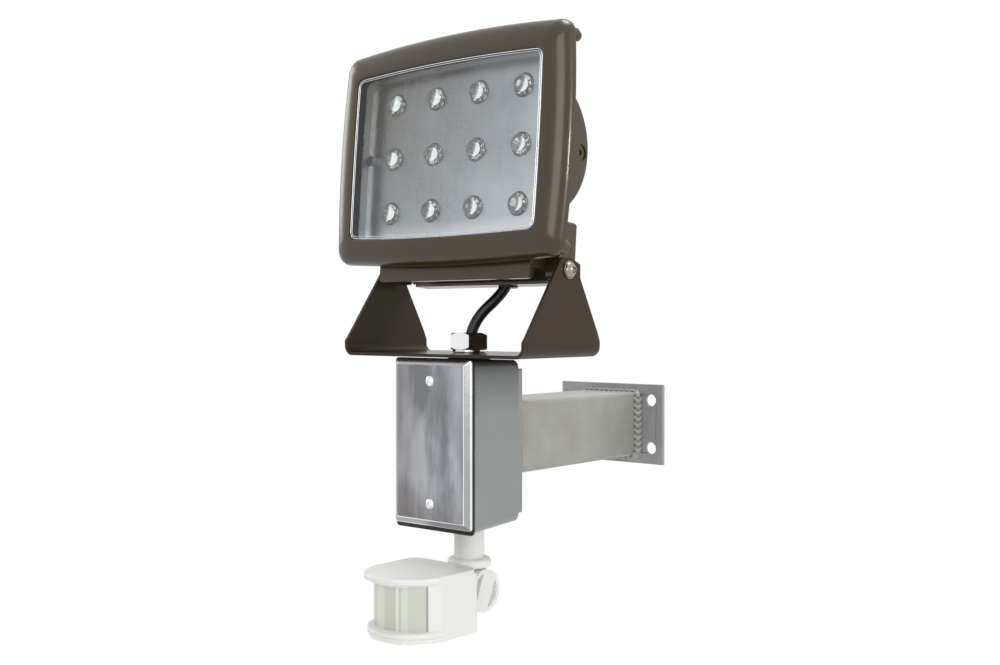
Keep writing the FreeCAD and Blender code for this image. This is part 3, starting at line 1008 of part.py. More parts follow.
# ---- the assembly ----------------------------------------------------------------------------
FIXED = {
    "wall_flange": wall_flange,
    "flange_weld": lambda: weld(ARM_BACK, -1),
    "arm_tube": arm_tube,
    "plate_weld": lambda: weld(ARM_FRONT, 1),
    "mounting_plate": mounting_plate,
    "outlet_box": outlet_box,
    "box_screws": box_screws,
    "ground_screw": ground_screw,
    "cover_gasket": cover_gasket,
    "cover_plate": cover_plate,
    "cover_screws": cover_screws,
    "splice_wires": splice_wires,
    "terminal_block": terminal_block,
    "gland_body": gland_body,
    "gland_nut": gland_nut,
    "gland_seal": gland_seal,
    "gland_locknut": gland_locknut,
    "yoke_washer": yoke_washer,
    "sensor_stem": sensor_stem,
    "sensor_locknut": sensor_locknut,
    "yoke_bracket": yoke_bracket,
    "pivot_washers": pivot_washers,
    "head_cable": head_cable,
    "cable_bushing": cable_bushing,
    "swivel_neck": swivel_neck,
    "clamp_nut": clamp_nut,
    "clamp_knob": clamp_knob,
    "sensor_body": sensor_body,
    "sensor_hood": sensor_hood,
    "sensor_lens": sensor_lens,
    "sensor_bottom_cover": sensor_bottom_cover,
    "sensor_board": sensor_board,
    "infrared_element": infrared_element,
    "adjuster_bodies": adjuster_bodies,
    "range_dial": lambda: dial(-DIAL_X),
    "time_dial": lambda: dial(DIAL_X),
}
HEAD = {
    "rear_housing": rear_housing,
    "front_frame": front_frame,
    "frame_screws": frame_screws,
    "lens_glass": lens_glass,
    "lens_gasket": lens_gasket,
    "reflector_tray": reflector_tray,
    "tray_screws": tray_screws,
    "led_board": led_board,
    "led_chips": led_chips,
    "led_lenses": led_lenses,
    "led_mount_plate": led_mount_plate,
    "led_driver": led_driver,
    "wiring_cover": wiring_cover,
    "wiring_cover_screws": wiring_cover_screws,
    "pivot_bolts": pivot_bolts,
}


def main():
    os.makedirs("parts", exist_ok=True)
    for name, make in FIXED.items():
        make().exportStep("parts/%s.step" % name)
    for name, make in HEAD.items():
        tilted(make()).exportStep("parts/%s.step" % name)


main()
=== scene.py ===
"""Looks of a motion sensor security light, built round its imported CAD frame.

Shapes are written in millimetres and put in the scene in metres. +Z is up, +X is to the right
for someone facing the wall, and the light stands out from the wall towards -Y.
"""
import math

import bmesh
import bpy
from mathutils import Matrix, Vector, noise


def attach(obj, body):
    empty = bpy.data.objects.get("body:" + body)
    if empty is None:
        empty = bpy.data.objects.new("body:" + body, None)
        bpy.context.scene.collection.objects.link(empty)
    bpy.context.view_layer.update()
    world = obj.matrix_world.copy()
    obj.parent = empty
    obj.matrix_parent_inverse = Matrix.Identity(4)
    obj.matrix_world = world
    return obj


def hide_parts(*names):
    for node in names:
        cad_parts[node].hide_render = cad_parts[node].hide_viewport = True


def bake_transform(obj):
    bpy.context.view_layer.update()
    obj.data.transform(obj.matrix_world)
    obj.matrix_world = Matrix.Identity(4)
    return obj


bl_info = {
    "name": "Motion sensor security light",
    "version": (1, 0, 0),
    "blender": (4, 5, 0),
    "location": "View3D > Sidebar > Security light",
    "description": "Dresses the packed floodlight, outlet box, wall arm and sensor",
    "category": "Object",
}

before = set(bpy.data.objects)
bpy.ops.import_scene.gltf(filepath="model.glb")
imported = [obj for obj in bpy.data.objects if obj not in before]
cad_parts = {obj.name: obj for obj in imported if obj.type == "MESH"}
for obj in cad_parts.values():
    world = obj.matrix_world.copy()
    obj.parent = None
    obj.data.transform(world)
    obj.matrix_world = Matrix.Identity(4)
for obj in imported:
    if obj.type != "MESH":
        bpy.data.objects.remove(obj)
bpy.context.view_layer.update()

MM = 0.001

# ---- sizes that the part's solids also have, in millimetres ------------------------------------
ARM_HALF, ARM_CORNER_R, ARM_BACK, ARM_FRONT = 25.4, 3.0, -3.2, -158.0
BOX_FRONT, RIM_Y, HUB_Y = -212.8, -216.0, -179.0
COVER_HALF_X, COVER_HALF_Z, COVER_CORNER_R = 34.925, 57.15, 2.4
COVER_RISE, COVER_BEVEL, COVER_SHEET = 3.9, 4.4, 1.2
GASKET_SAG = 3.0
PIVOT = Vector((0, -173.0, 116.0))
REST_TILT = 4.7
FACE = Vector((0, -203.6, 196.8))
FRAME_OUTLINE = (104.9, 102.0, 81.2, 76.8, -79.2, -76.6, 10.5)
OPENING_OUTLINE = (85.6, 85.0, 60.6, 58.2, -61.0, -59.6, 6.5)
FRAME_BACK, FRAME_EDGE, FRAME_CROWN, FRAME_SWELL = 0.8, 2.2, 13.3, 2.15
GLASS_FRONT, FACE_SEAT, FRAME_SHOULDER, GLASS_POCKET = 11.8, 3.5, -4.1, 5.5
TRAY_FLOOR = -2.6
WINDOW_AXIS_Y = -230.2
SILL_MIDDLE_Y, SILL_HALF = -237.0, (30.2, 28.8)
# how far out from the sill's curve, and how high
SILL_SECTION = ((-4.0, -118.9), (-1.2, -118.9), (-0.4, -119.2), (0.05, -119.9), (0.1, -121.0),
                (-0.15, -121.9), (-0.7, -122.2), (-0.7, -122.5), (-0.1, -122.8), (-0.2, -123.9),
                (-1.4, -125.2), (-4.0, -125.4))
LED_COLUMNS, LED_ROWS, LED_PITCH_X, LED_PITCH_Z = 4, 3, 39.1, 39.6
CABLE_POINTS = ((0, HUB_Y, 62), (0, HUB_Y, 80.2), (20.8, -160.7, 105.3), (20.8, -160.7, 113.3))
TILT = (Matrix.Translation(PIVOT) @ Matrix.Rotation(math.radians(-REST_TILT), 4, "X")
        @ Matrix.Translation(-PIVOT))

# ---- sizes that only the looks have, in millimetres --------------------------------------------
BEAD_SPACING, BEAD_STEPS = 0.45, 8
GASKET_STEPS, GASKET_WAVE = 8, 0.35
FRAME_STEPS, FRAME_LIP, FRAME_BREADTH, FRAME_SEAM = 30, 0.9, 18, 0.25
# how far inside the opening each painted highlight line at the glass's edge lies, and its radius
GLASS_HIGHLIGHT_LINES = ((0.9, 0.32), (2.3, 0.22))
# radius, and height over the tray, of the ring round each optic
COLLAR_SECTION = ((7.7, -0.2), (7.74, 0.25), (7.95, 0.36), (8.15, 0.25), (8.3, 0.0), (8.3, -0.2))
SILL_STEPS = 64
FLOOR_HALF = 4000
# the gasket's window, as shares of the pad's width and height
GASKET_WINDOW = (0.78, 0.6)

# ---- camera and lamps, in metres ---------------------------------------------------------------
CAMERA_PLACE = (0.5463, -0.8050, 0.0820)
LAMPS_LOOK_AT = Vector((0, -0.15, 0.08))
# each lamp's name, place, power in watts and width
LAMPS = (("key", (0.9, -1.9, 0.75), 13, 1.2), ("left", (-1.9, -0.4, 0.8), 8, 0.9),
         ("side", (1.9, 0.15, 0.5), 9, 0.2), ("top", (0.2, 0.1, 1.9), 21, 0.8))


# ---- settings that a user would change ---------------------------------------------------------
def screen(red, green, blue):
    """A colour written as it looks on a screen, 0 to 255, in the numbers that shaders take."""
    shares = [value / 255 for value in (red, green, blue)]
    return tuple(s / 12.92 if s <= 0.04045 else ((s + 0.055) / 1.055) ** 2.4 for s in shares)


def swatch(name, description, red, green, blue):
    """A colour that a user can change, with its default as it looks on a screen."""
    return bpy.props.FloatVectorProperty(
        name=name, description=description, subtype="COLOR", size=3, min=0, max=1,
        default=screen(red, green, blue))


def length(name, description, millimetres):
    """A length that a user can change, with its default in millimetres."""
    return bpy.props.FloatProperty(
        name=name, description=description, default=millimetres * MM, min=0, unit="LENGTH",
        precision=5)


# colours of small and inner pieces
ZINC, JET, CLEAR = (0.46, 0.47, 0.49), (0.012, 0.011, 0.010), (0.97, 0.98, 0.98)
GREEN_SCREW, INSULATION, CONNECTOR = (0.03, 0.2, 0.07), (0.02, 0.02, 0.022), (0.57, 0.57, 0.55)
WASHER, DRIVER_CASE, MOUNT_PLATE = (0.014, 0.014, 0.014), (0.042, 0.044, 0.047), (0.39, 0.4, 0.41)
CIRCUIT_BOARD, ELEMENT_CAN = (0.026, 0.15, 0.045), (0.48, 0.49, 0.49)
ADJUSTER, DIAL = (0.024, 0.08, 0.25), (0.27, 0.3, 0.3)
COVER_LOWER_LEFT_TONE, COVER_BORDER_REFLECTION = screen(112, 95, 87), screen(168, 169, 171)
COVER_CREASE_HIGHLIGHT, TRAY_WALL_HIGHLIGHT = screen(240, 241, 242), screen(205, 208, 210)
GLASS_HIGHLIGHT, SOLDER_MASK, COLLAR = screen(232, 234, 236), screen(150, 152, 150), screen(92, 93, 95)


class LightSizes(bpy.types.PropertyGroup):
    """Sizes of the details that only the looks have."""
    weld_leg: length("Weld leg", "How far a weld bead reaches along the arm and the plate", 5.0)
    weld_pitch: length("Weld ripple pitch", "Distance between two ripples of a weld bead", 5.0)
    cable_radius: length("Cable radius", "Radius of the head's cable", 3.9)
    gasket_bulge: length("Gasket bulge", "How far the gasket swells out past the cover", 0.5)
    edge_round: length("Edge rounding", "Rounding of the sheet metal and moulded edges", 0.35)
    lens_groove: length("Window groove", "Depth of the grooves in the sensor's window", 0.12)


class LightColours(bpy.types.PropertyGroup):
    """Colours of the light's finishes."""
    bronze: swatch("Bronze coat", "Powder coat of the head", 60, 49, 27)
    yoke_bronze: swatch("Yoke coat", "Powder coat of the yoke", 54, 43, 27)
    plate_bronze: swatch("Chamber cover", "Coat of the wiring chamber's cover", 118, 115, 107)
    box_grey: swatch("Box grey", "Enamel of the outlet box", 140, 145, 143)
    arm_metal: swatch("Arm metal", "Mill finish of the arm", 160, 160, 152)
    plate_metal: swatch("Plate metal", "Edge of the plate behind the box", 148, 149, 144)
    flange_metal: swatch("Flange metal", "Cut plate of the flange", 160, 161, 163)
    weld_metal: swatch("Weld metal", "Fillets at both ends of the arm", 150, 150, 146)
    cover_steel: swatch("Cover steel", "Bright sheet of the box's cover", 158, 161, 166)
    plating: swatch("Plating", "Bright plate of the gland", 236, 237, 236)
    bolts: swatch("Bolts", "Duller plate of the pivot bolts", 158, 155, 148)
    reflector: swatch("Reflector", "Rolled sheet of the lamp's tray", 152, 155, 160)
    reflector_dim: swatch("Reflector, dim side", "The tray's upper left", 112, 106, 98)
    reflector_lit: swatch("Reflector, lit side", "The tray's lower right", 214, 217, 221)
    black: swatch("Black rubber", "Gasket, cable and seals", 20, 20, 20)
    white: swatch("Sensor white", "Moulded plastic of the sensor", 236, 236, 232)
    window: swatch("Sensor window", "Milky film of the sensor's window", 205, 208, 196)
    phosphor: swatch("Phosphor", "Light emitting chips", 236, 220, 84)


class StageSettings(bpy.types.PropertyGroup):
    """Camera and studio light."""
    azimuth: bpy.props.FloatProperty(
        name="Azimuth", description="Camera's turn about the light", subtype="ANGLE",
        default=math.radians(39.62))
    fall: bpy.props.FloatProperty(
        name="Downward look", description="Camera's angle below the horizon", subtype="ANGLE",
        default=math.radians(0.54))
    focal: bpy.props.FloatProperty(
        name="Focal length", description="Camera lens, for a sensor 36 mm wide", default=42.62,
        unit="CAMERA")
    fill: bpy.props.FloatProperty(
        name="Room light", description="Level of the light from all round", default=0.4, min=0)
    floor_drop: length("Floor drop", "How far the floor lies under the wall mount", 420.0)


# ---- materials ---------------------------------------------------------------------------------
class Channel:
    """An output of a tree's nodes. Arithmetic on it adds Math nodes."""

    def __init__(self, nodes, socket):
        self.nodes, self.socket = nodes, socket

    def joined(self, operation, first, second):
        """One Math node on two values."""
        return self.nodes.node("ShaderNodeMath", {"operation": operation}, {0: first, 1: second})

    def __add__(self, other):
        return self.joined("ADD", self, other)

    def __sub__(self, other):
        return self.joined("SUBTRACT", self, other)

    def __rsub__(self, other):
        return self.joined("SUBTRACT", other, self)

    def __mul__(self, other):
        return self.joined("MULTIPLY", self, other)

    def __pow__(self, other):
        return self.joined("POWER", self, other)

    def __gt__(self, other):
        return self.joined("GREATER_THAN", self, other)

    __radd__ = __add__
    __rmul__ = __mul__


class Nodes:
    """A tree of shader nodes, all made by one method."""

    def __init__(self, tree):
        self.tree = tree
        tree.nodes.clear()

    def feed(self, socket, value):
        """Set a socket, or link it where the value comes from another node."""
        if isinstance(value, Channel):
            self.tree.links.new(value.socket, socket)
        elif isinstance(value, (tuple, list)) and len(value) == 3 and socket.type == "RGBA":
            socket.default_value = (*value, 1.0)
        else:
            socket.default_value = value

    def node(self, kind, settings=None, inputs=None, output=0):
        """Any node: its settings first, then its inputs' values or links; gives one output."""
        made = self.tree.nodes.new(kind)
        for name, value in (settings or {}).items():
            if name == "stops":
                ramp = made.color_ramp.elements
                for stop, (position, colour) in zip(ramp, (value[0], value[-1])):
                    stop.position, stop.color = position, (*colour, 1.0)
                for position, colour in value[1:-1]:
                    ramp.new(position).color = (*colour, 1.0)
            else:
                setattr(made, name, value)
        for name, value in (inputs or {}).items():
            self.feed(made.inputs[name], value)
        return Channel(self, made.outputs[output]) if made.outputs else None


class Finish(Nodes):
    """A material made of nodes."""

    def __init__(self, name):
        self.material = bpy.data.materials.new(name)
        self.material.use_nodes = True
        super().__init__(self.material.node_tree)
        self.place = self.node("ShaderNodeTexCoord", output="Object")

    def noise(self, scale, detail=3.0, stretch=(1, 1, 1), roughness=0.5):
        """Cloudy noise from 0 to 1; scale is in features per metre, stretch is for each axis."""
        place = self.node("ShaderNodeMapping", inputs={"Vector": self.place, "Scale": stretch})
        return self.node("ShaderNodeTexNoise",
                         inputs={"Vector": place, "Scale": scale, "Detail": detail,
                                 "Roughness": roughness})

    def part_of(self, vector, axis):
        """One axis of a vector."""
        return self.node("ShaderNodeSeparateXYZ", inputs={"Vector": vector}, output=axis)

    def along(self, axis, start, stop):
        """From 0 to 1 as the place on an axis goes from start to stop, in millimetres."""
        return self.spread(self.part_of(self.place, axis), start * MM, stop * MM)

    def mix(self, share, first, second):
        """A colour between two."""
        return self.node("ShaderNodeMix", {"data_type": "RGBA"}, {0: share, 6: first, 7: second},
                         output=2)

    def toned(self, colour, share, depth):
        """The colour, darker and lighter by depth as share goes from 0 to 1."""
        dark = tuple(c * (1 - depth) for c in colour)
        light = tuple(min(c * (1 + depth), 1.0) for c in colour)
        return self.mix(share, dark, light)

    def spread(self, value, low, high):
        """A value drawn out so that low and high become 0 and 1."""
        return self.node("ShaderNodeMapRange", {"clamp": True},
                         {"Value": value, "From Min": low, "From Max": high})

    def bump(self, height, strength, distance):
        """A bump from a height; the distance is in metres."""
        return self.node("ShaderNodeBump", inputs={"Height": height, "Strength": strength,
                                                   "Distance": distance})

    def shader(self, colour, roughness, metallic=0.0, normal=None, **more):
        """The main shader; more holds its other inputs by name."""
        inputs = {"Base Color": colour, "Roughness": roughness, "Metallic": metallic}
        if normal is not None:
            inputs["Normal"] = normal
        inputs.update({name.replace("_", " ").title().replace("Ior", "IOR"): value
                       for name, value in more.items()})
        return self.node("ShaderNodeBsdfPrincipled", inputs=inputs)

    def done(self, shader):
        """Close the tree and give its material."""
        self.node("ShaderNodeOutputMaterial", inputs={"Surface": shader})
        return self.material


def powder_coat(name, colour, metallic=0.1, roughness=0.31, coat=0.3, gloss=0.4):
    """Satin powder coat: fine orange peel and a faint cloudiness under a thin gloss."""
    finish = Finish(name)
    cloud = finish.noise(22)
    peel = finish.noise(1100, detail=2)
    speck = finish.noise(2600, detail=1)
    return finish.done(finish.shader(
        finish.toned(colour, cloud * 0.6 + speck * 0.4, 0.12), cloud * 0.10 + (roughness - 0.05),
        metallic, finish.bump(peel, 0.14, 0.0004), specular_ior_level=gloss, coat_weight=coat,
        coat_roughness=0.1))


def cast_enamel(name, colour):
    """Satin enamel over a die casting, with a little painted shade up under the head."""
    finish = Finish(name)
    cloud = finish.noise(30)
    grain = finish.noise(700, detail=4)
    swell = finish.noise(60, detail=2)
    # painted shade: darker towards the top, where the head and yoke shadow the box
    low = finish.along("Z", 58, 18)
    shade = tuple(c * 0.38 for c in colour)
    return finish.done(finish.shader(
        finish.mix(low, shade, finish.toned(colour, cloud, 0.10)), cloud * 0.12 + 0.36, 0.1,
        finish.bump(grain * 0.5 + swell * 2.0, 0.25, 0.0004), coat_weight=0.12,
        coat_roughness=0.2))


def mill_metal(name, colour, roughness=0.5, along="Y", lines=0.25, metallic=0.55):
    """Rolled or extruded metal, with faint lines one way and handling marks."""
    finish = Finish(name)
    stretch = {"X": (0.03, 1, 1), "Y": (1, 0.03, 1), "Z": (1, 1, 0.03)}[along]
    streak = finish.noise(900, detail=3, stretch=stretch)
    cloud = finish.noise(35, detail=4)
    mark = finish.spread(finish.noise(140, detail=5), 0.58, 0.72)
    return finish.done(finish.shader(
        finish.toned(colour, finish.spread(cloud, 0.3, 0.7) * 0.7 + streak * 0.3, 0.16),
        cloud * 0.16 + streak * 0.08 + mark * 0.08 + (roughness - 0.14), metallic,
        finish.bump(streak, lines, 0.0002)))


def cover_steel(name, colour, lower_left_tone):
    """Bright sheet with upright wiping streaks, blotches, and a warmer, darker tone towards the
    lower left.
    """
    finish = Finish(name)
    streak = finish.spread(finish.noise(60, detail=5, stretch=(1.6, 1, 0.16)), 0.3, 0.7)
    fine = finish.noise(420, detail=4, stretch=(1, 1, 0.05))
    blotch = finish.spread(finish.noise(26, detail=4, stretch=(1.2, 1, 0.5)), 0.40, 0.64)
    wave = finish.noise(34, detail=1, stretch=(1, 1, 0.5))
    # warmer and darker towards the left and the bottom
    side = finish.along("X", 6, -36) * 0.6 + finish.along("Z", -26, -58) * 0.45
    wipe = finish.spread(finish.noise(38, detail=3, stretch=(1.0, 1, 0.34), roughness=0.7),
                         0.44, 0.7)
    worn = finish.spread(streak * 0.35 + blotch * 0.4 + wipe * 0.25, 0.25, 0.75)
    steel = finish.toned(colour, worn, 0.42)
    return finish.done(finish.shader(
        finish.mix(side * (blotch * 0.5 + 0.5), steel, lower_left_tone),
        streak * 0.16 + blotch * 0.14 + fine * 0.06 + 0.08, 0.9,
        finish.bump(wave * 2.0 + fine * 0.03, 0.16, 0.0012)))


def bright_plate(name, colour, roughness=0.14):
    """Bright metal plate with a faintly cloudy polish."""
    finish = Finish(name)
    cloud = finish.noise(160, detail=3)
    fine = finish.noise(1500, detail=2)
    return finish.done(finish.shader(
        finish.toned(colour, cloud, 0.06), cloud * 0.14 + (roughness - 0.06), 1.0,
        finish.bump(fine, 0.06, 0.0001)))


def rubber(name, colour, roughness=0.5):
    """Matt rubber, paler where dust lies on it."""
    finish = Finish(name)
    grain = finish.noise(1300, detail=3)
    dust = finish.spread(finish.noise(70, detail=5), 0.5, 0.8)
    return finish.done(finish.shader(
        finish.toned(colour, dust, 0.5), dust * 0.2 + roughness, 0.0,
        finish.bump(grain, 0.3, 0.0003), specular_ior_level=0.45))


def moulded(name, colour, roughness=0.38, grain=0.12):
    """Moulded plastic with a fine spark texture."""
    finish = Finish(name)
    cloud = finish.noise(26)
    spark = finish.noise(1700, detail=2)
    return finish.done(finish.shader(
        finish.toned(colour, cloud, 0.02), cloud * 0.08 + (roughness - 0.04), 0.0,
        finish.bump(spark, grain, 0.0002)))


def window_film(name, colour, groove):
    """Milky film on a round window, whose lens strips show as paler upright bands, with a painted
    highlight line and painted shade along one edge.
    """
    finish = Finish(name)
    ahead = WINDOW_AXIS_Y * MM - finish.part_of(finish.place, "Y")
    turn = finish.node("ShaderNodeMath", {"operation": "ARCTAN2"},
                       {0: finish.part_of(finish.place, "X"), 1: ahead})
    pale = tuple(min(c * 1.19, 1.0) for c in colour)
    # painted highlight: the thin bright line down the window
    line = tuple(min(c * 1.4, 0.9) for c in colour)
    # painted shade along the window's right edge
    edge = tuple(c * 0.6 for c in colour)
    bands = finish.node("ShaderNodeValToRGB", {"stops": (
        (0.0, colour), (0.30, colour), (0.35, pale), (0.44, pale), (0.48, colour), (0.612, colour),
        (0.622, line), (0.638, line), (0.648, colour), (0.665, colour), (0.69, pale),
        (0.735, pale), (0.76, colour), (0.93, colour), (0.94, edge), (1.0, edge))},
        {"Fac": finish.spread(turn, math.radians(-60), math.radians(60))})
    ribs = finish.node("ShaderNodeMath", {"operation": "SINE"}, {0: turn * 90.0})
    haze = finish.noise(90, detail=3)
    return finish.done(finish.shader(bands, haze * 0.1 + 0.26, 0.0,
                                     finish.bump(ribs + haze * 0.5, 0.12, groove)))


def see_through(name, tint, mirror=0.04, roughness=0.02, steep=5.0):
    """Thin clear glass or plastic: open, with a reflection that grows towards its edges."""
    finish = Finish(name)
    haze = finish.noise(24, detail=4)
    gloss = finish.shader((1, 1, 1), haze * 0.02 + (roughness - 0.01), 1.0)
    open_part = finish.node("ShaderNodeBsdfTransparent", inputs={"Color": tint})
    facing = finish.node("ShaderNodeLayerWeight", inputs={"Blend": 0.5}, output="Facing")
    return finish.done(finish.node(
        "ShaderNodeMixShader",
        inputs={0: facing ** steep * (0.96 - mirror) + mirror, 1: open_part, 2: gloss}))


# ---- mesh tools --------------------------------------------------------------------------------
def put(name, points, faces, material, body, slot, stands_for=(), sharp=35.0):
    """A piece from points in millimetres, riding on a body and standing for CAD nodes."""
    mesh = bpy.data.meshes.new(name)
    mesh.from_pydata([Vector(p) * MM for p in points], [], faces)
    shape = bmesh.new()
    shape.from_mesh(mesh)
    bmesh.ops.remove_doubles(shape, verts=shape.verts, dist=1e-7)
    bmesh.ops.recalc_face_normals(shape, faces=shape.faces)
    shape.to_mesh(mesh)
    shape.free()
    mesh.shade_smooth()
    mesh.set_sharp_from_angle(angle=math.radians(sharp))
    made = bpy.data.objects.new(name, mesh)
    bpy.context.scene.collection.objects.link(made)
    mesh.materials.append(material)
    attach(made, body)
    if stands_for:
        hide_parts(*stands_for)
    return made


def skin(loops, closed=False, ends=False):
    """Points and faces over loops that each hold the same number of points."""
    count = len(loops[0])
    points = [p for loop in loops for p in loop]
    faces = []
    pairs = len(loops) if closed else len(loops) - 1
    for i in range(pairs):
        a, b = i * count, (i + 1) % len(loops) * count
        for j in range(count):
            k = (j + 1) % count
            faces.append((a + j, a + k, b + k, b + j))
    if ends:
        faces.append(tuple(range(count)))
        faces.append(tuple(range(len(points) - count, len(points))))
    return points, faces


def merged(parts):
    """Several sets of points and faces as one."""
    points, faces = [], []
    for some_points, some_faces in parts:
        start = len(points)
        points += some_points
        faces += [tuple(start + i for i in face) for face in some_faces]
    return points, faces


def arc(first, middle, last, count):
    """Points on the circle through three points of a plane, without the last one."""
    (ax, az), (bx, bz), (cx, cz) = first, middle, last
    d = 2 * (ax * (bz - cz) + bx * (cz - az) + cx * (az - bz))
    ux = ((ax * ax + az * az) * (bz - cz) + (bx * bx + bz * bz) * (cz - az)
          + (cx * cx + cz * cz) * (az - bz)) / d
    uz = ((ax * ax + az * az) * (cx - bx) + (bx * bx + bz * bz) * (ax - cx)
          + (cx * cx + cz * cz) * (bx - ax)) / d
    radius = math.hypot(ax - ux, az - uz)
    start = math.atan2(az - uz, ax - ux)
    sweep = (math.atan2(cz - uz, cx - ux) - start + math.pi) % (2 * math.pi) - math.pi
    return [(ux + radius * math.cos(start + sweep * i / count),
             uz + radius * math.sin(start + sweep * i / count)) for i in range(count)]


def grown(outline, by):
    """An outline moved out by a distance, or in where that is negative."""
    side, corner, top, top_corner, bottom, bottom_corner, radius = outline
    return (side + by, corner + by, top + by, top_corner + by, bottom - by, bottom_corner - by,
            max(radius + by, 1.0))


def between(a, b, share):
    """Part of the way from one row of numbers to another."""
    return tuple(p + (q - p) * share for p, q in zip(a, b))


def pillow(outline, depth, along=44, round_corner=14):
    """The head's bowed outline at a depth ahead of the lamp face, upright."""
    side, corner, top, top_corner, bottom, bottom_corner, r = outline
    k = r * (1 - math.sqrt(0.5))
    marks = (
        ((corner, bottom_corner + r), (side, 0), (corner, top_corner - r), along),
        ((corner, top_corner - r), (corner - k, top_corner - k), (corner - r, top_corner),
         round_corner),
        ((corner - r, top_corner), (0, top), (r - corner, top_corner), along),
        ((r - corner, top_corner), (k - corner, top_corner - k), (-corner, top_corner - r),
         round_corner),
        ((-corner, top_corner - r), (-side, 0), (-corner, bottom_corner + r), along),
        ((-corner, bottom_corner + r), (k - corner, bottom_corner + k), (r - corner, bottom_corner),
         round_corner),
        ((r - corner, bottom_corner), (0, bottom), (corner - r, bottom_corner), along),
        ((corner - r, bottom_corner), (corner - k, bottom_corner + k), (corner, bottom_corner + r),
         round_corner),
    )
    flat = [p for first, middle, last, count in marks for p in arc(first, middle, last, count)]
    return [TILT @ Vector((x, FACE.y - depth, FACE.z + z)) for x, z in flat]


def rounded(half_x, low, high, radius, y, corner=8, along=None):
    """A rounded rectangle in the XZ plane at y, with points every along where that is given."""
    flat = []
    side, top, bottom = half_x - radius, high - radius, low + radius
    for cx, cz, start in ((side, top, 0), (-side, top, 90), (-side, bottom, 180),
                          (side, bottom, 270)):
        turn = [math.radians(start + 90 * i / corner) for i in range(corner + 1)]
        flat += [(cx + radius * math.cos(a), cz + radius * math.sin(a)) for a in turn]
    if along:
        dense = []
        for (ax, az), (bx, bz) in zip(flat, flat[1:] + flat[:1]):
            steps = max(1, round(math.hypot(bx - ax, bz - az) / along))
            dense += [(ax + (bx - ax) * i / steps, az + (bz - az) * i / steps)
                      for i in range(steps)]
        flat = dense
    return [Vector((x, y, z)) for x, z in flat]


def ring_of(centre, axis, radius, count=48):
    """Points round an axis."""
    side = axis.orthogonal().normalized()
    up = axis.cross(side).normalized()
    return [centre + side * (radius * math.cos(2 * math.pi * i / count))
            + up * (radius * math.sin(2 * math.pi * i / count)) for i in range(count)]


def dress(node, material, soften=0.0):
    """Give a CAD node its finish, with its hard edges eased by soften, in metres."""
    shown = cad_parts[node]
    shown.data.materials.clear()
    shown.data.materials.append(material)
    if soften:
        weld = shown.modifiers.new("close seams", "WELD")
        weld.merge_threshold = 1e-6
        ease = shown.modifiers.new("ease edges", "BEVEL")
        ease.width, ease.segments, ease.limit_method = soften, 2, "ANGLE"
        ease.angle_limit = math.radians(32)
        ease.use_clamp_overlap = True
        level = shown.modifiers.new("even shading", "WEIGHTED_NORMAL")
        level.keep_sharp = False
    return shown


class Builder(bpy.types.Operator):
    """Shared reach to the settings"""
    bl_options = {"INTERNAL"}

    @property
    def sizes(self):
        return bpy.context.scene.security_light_sizes

    @property
    def colours(self):
        return bpy.context.scene.security_light_colours

    @property
    def stage(self):
        return bpy.context.scene.security_light_stage


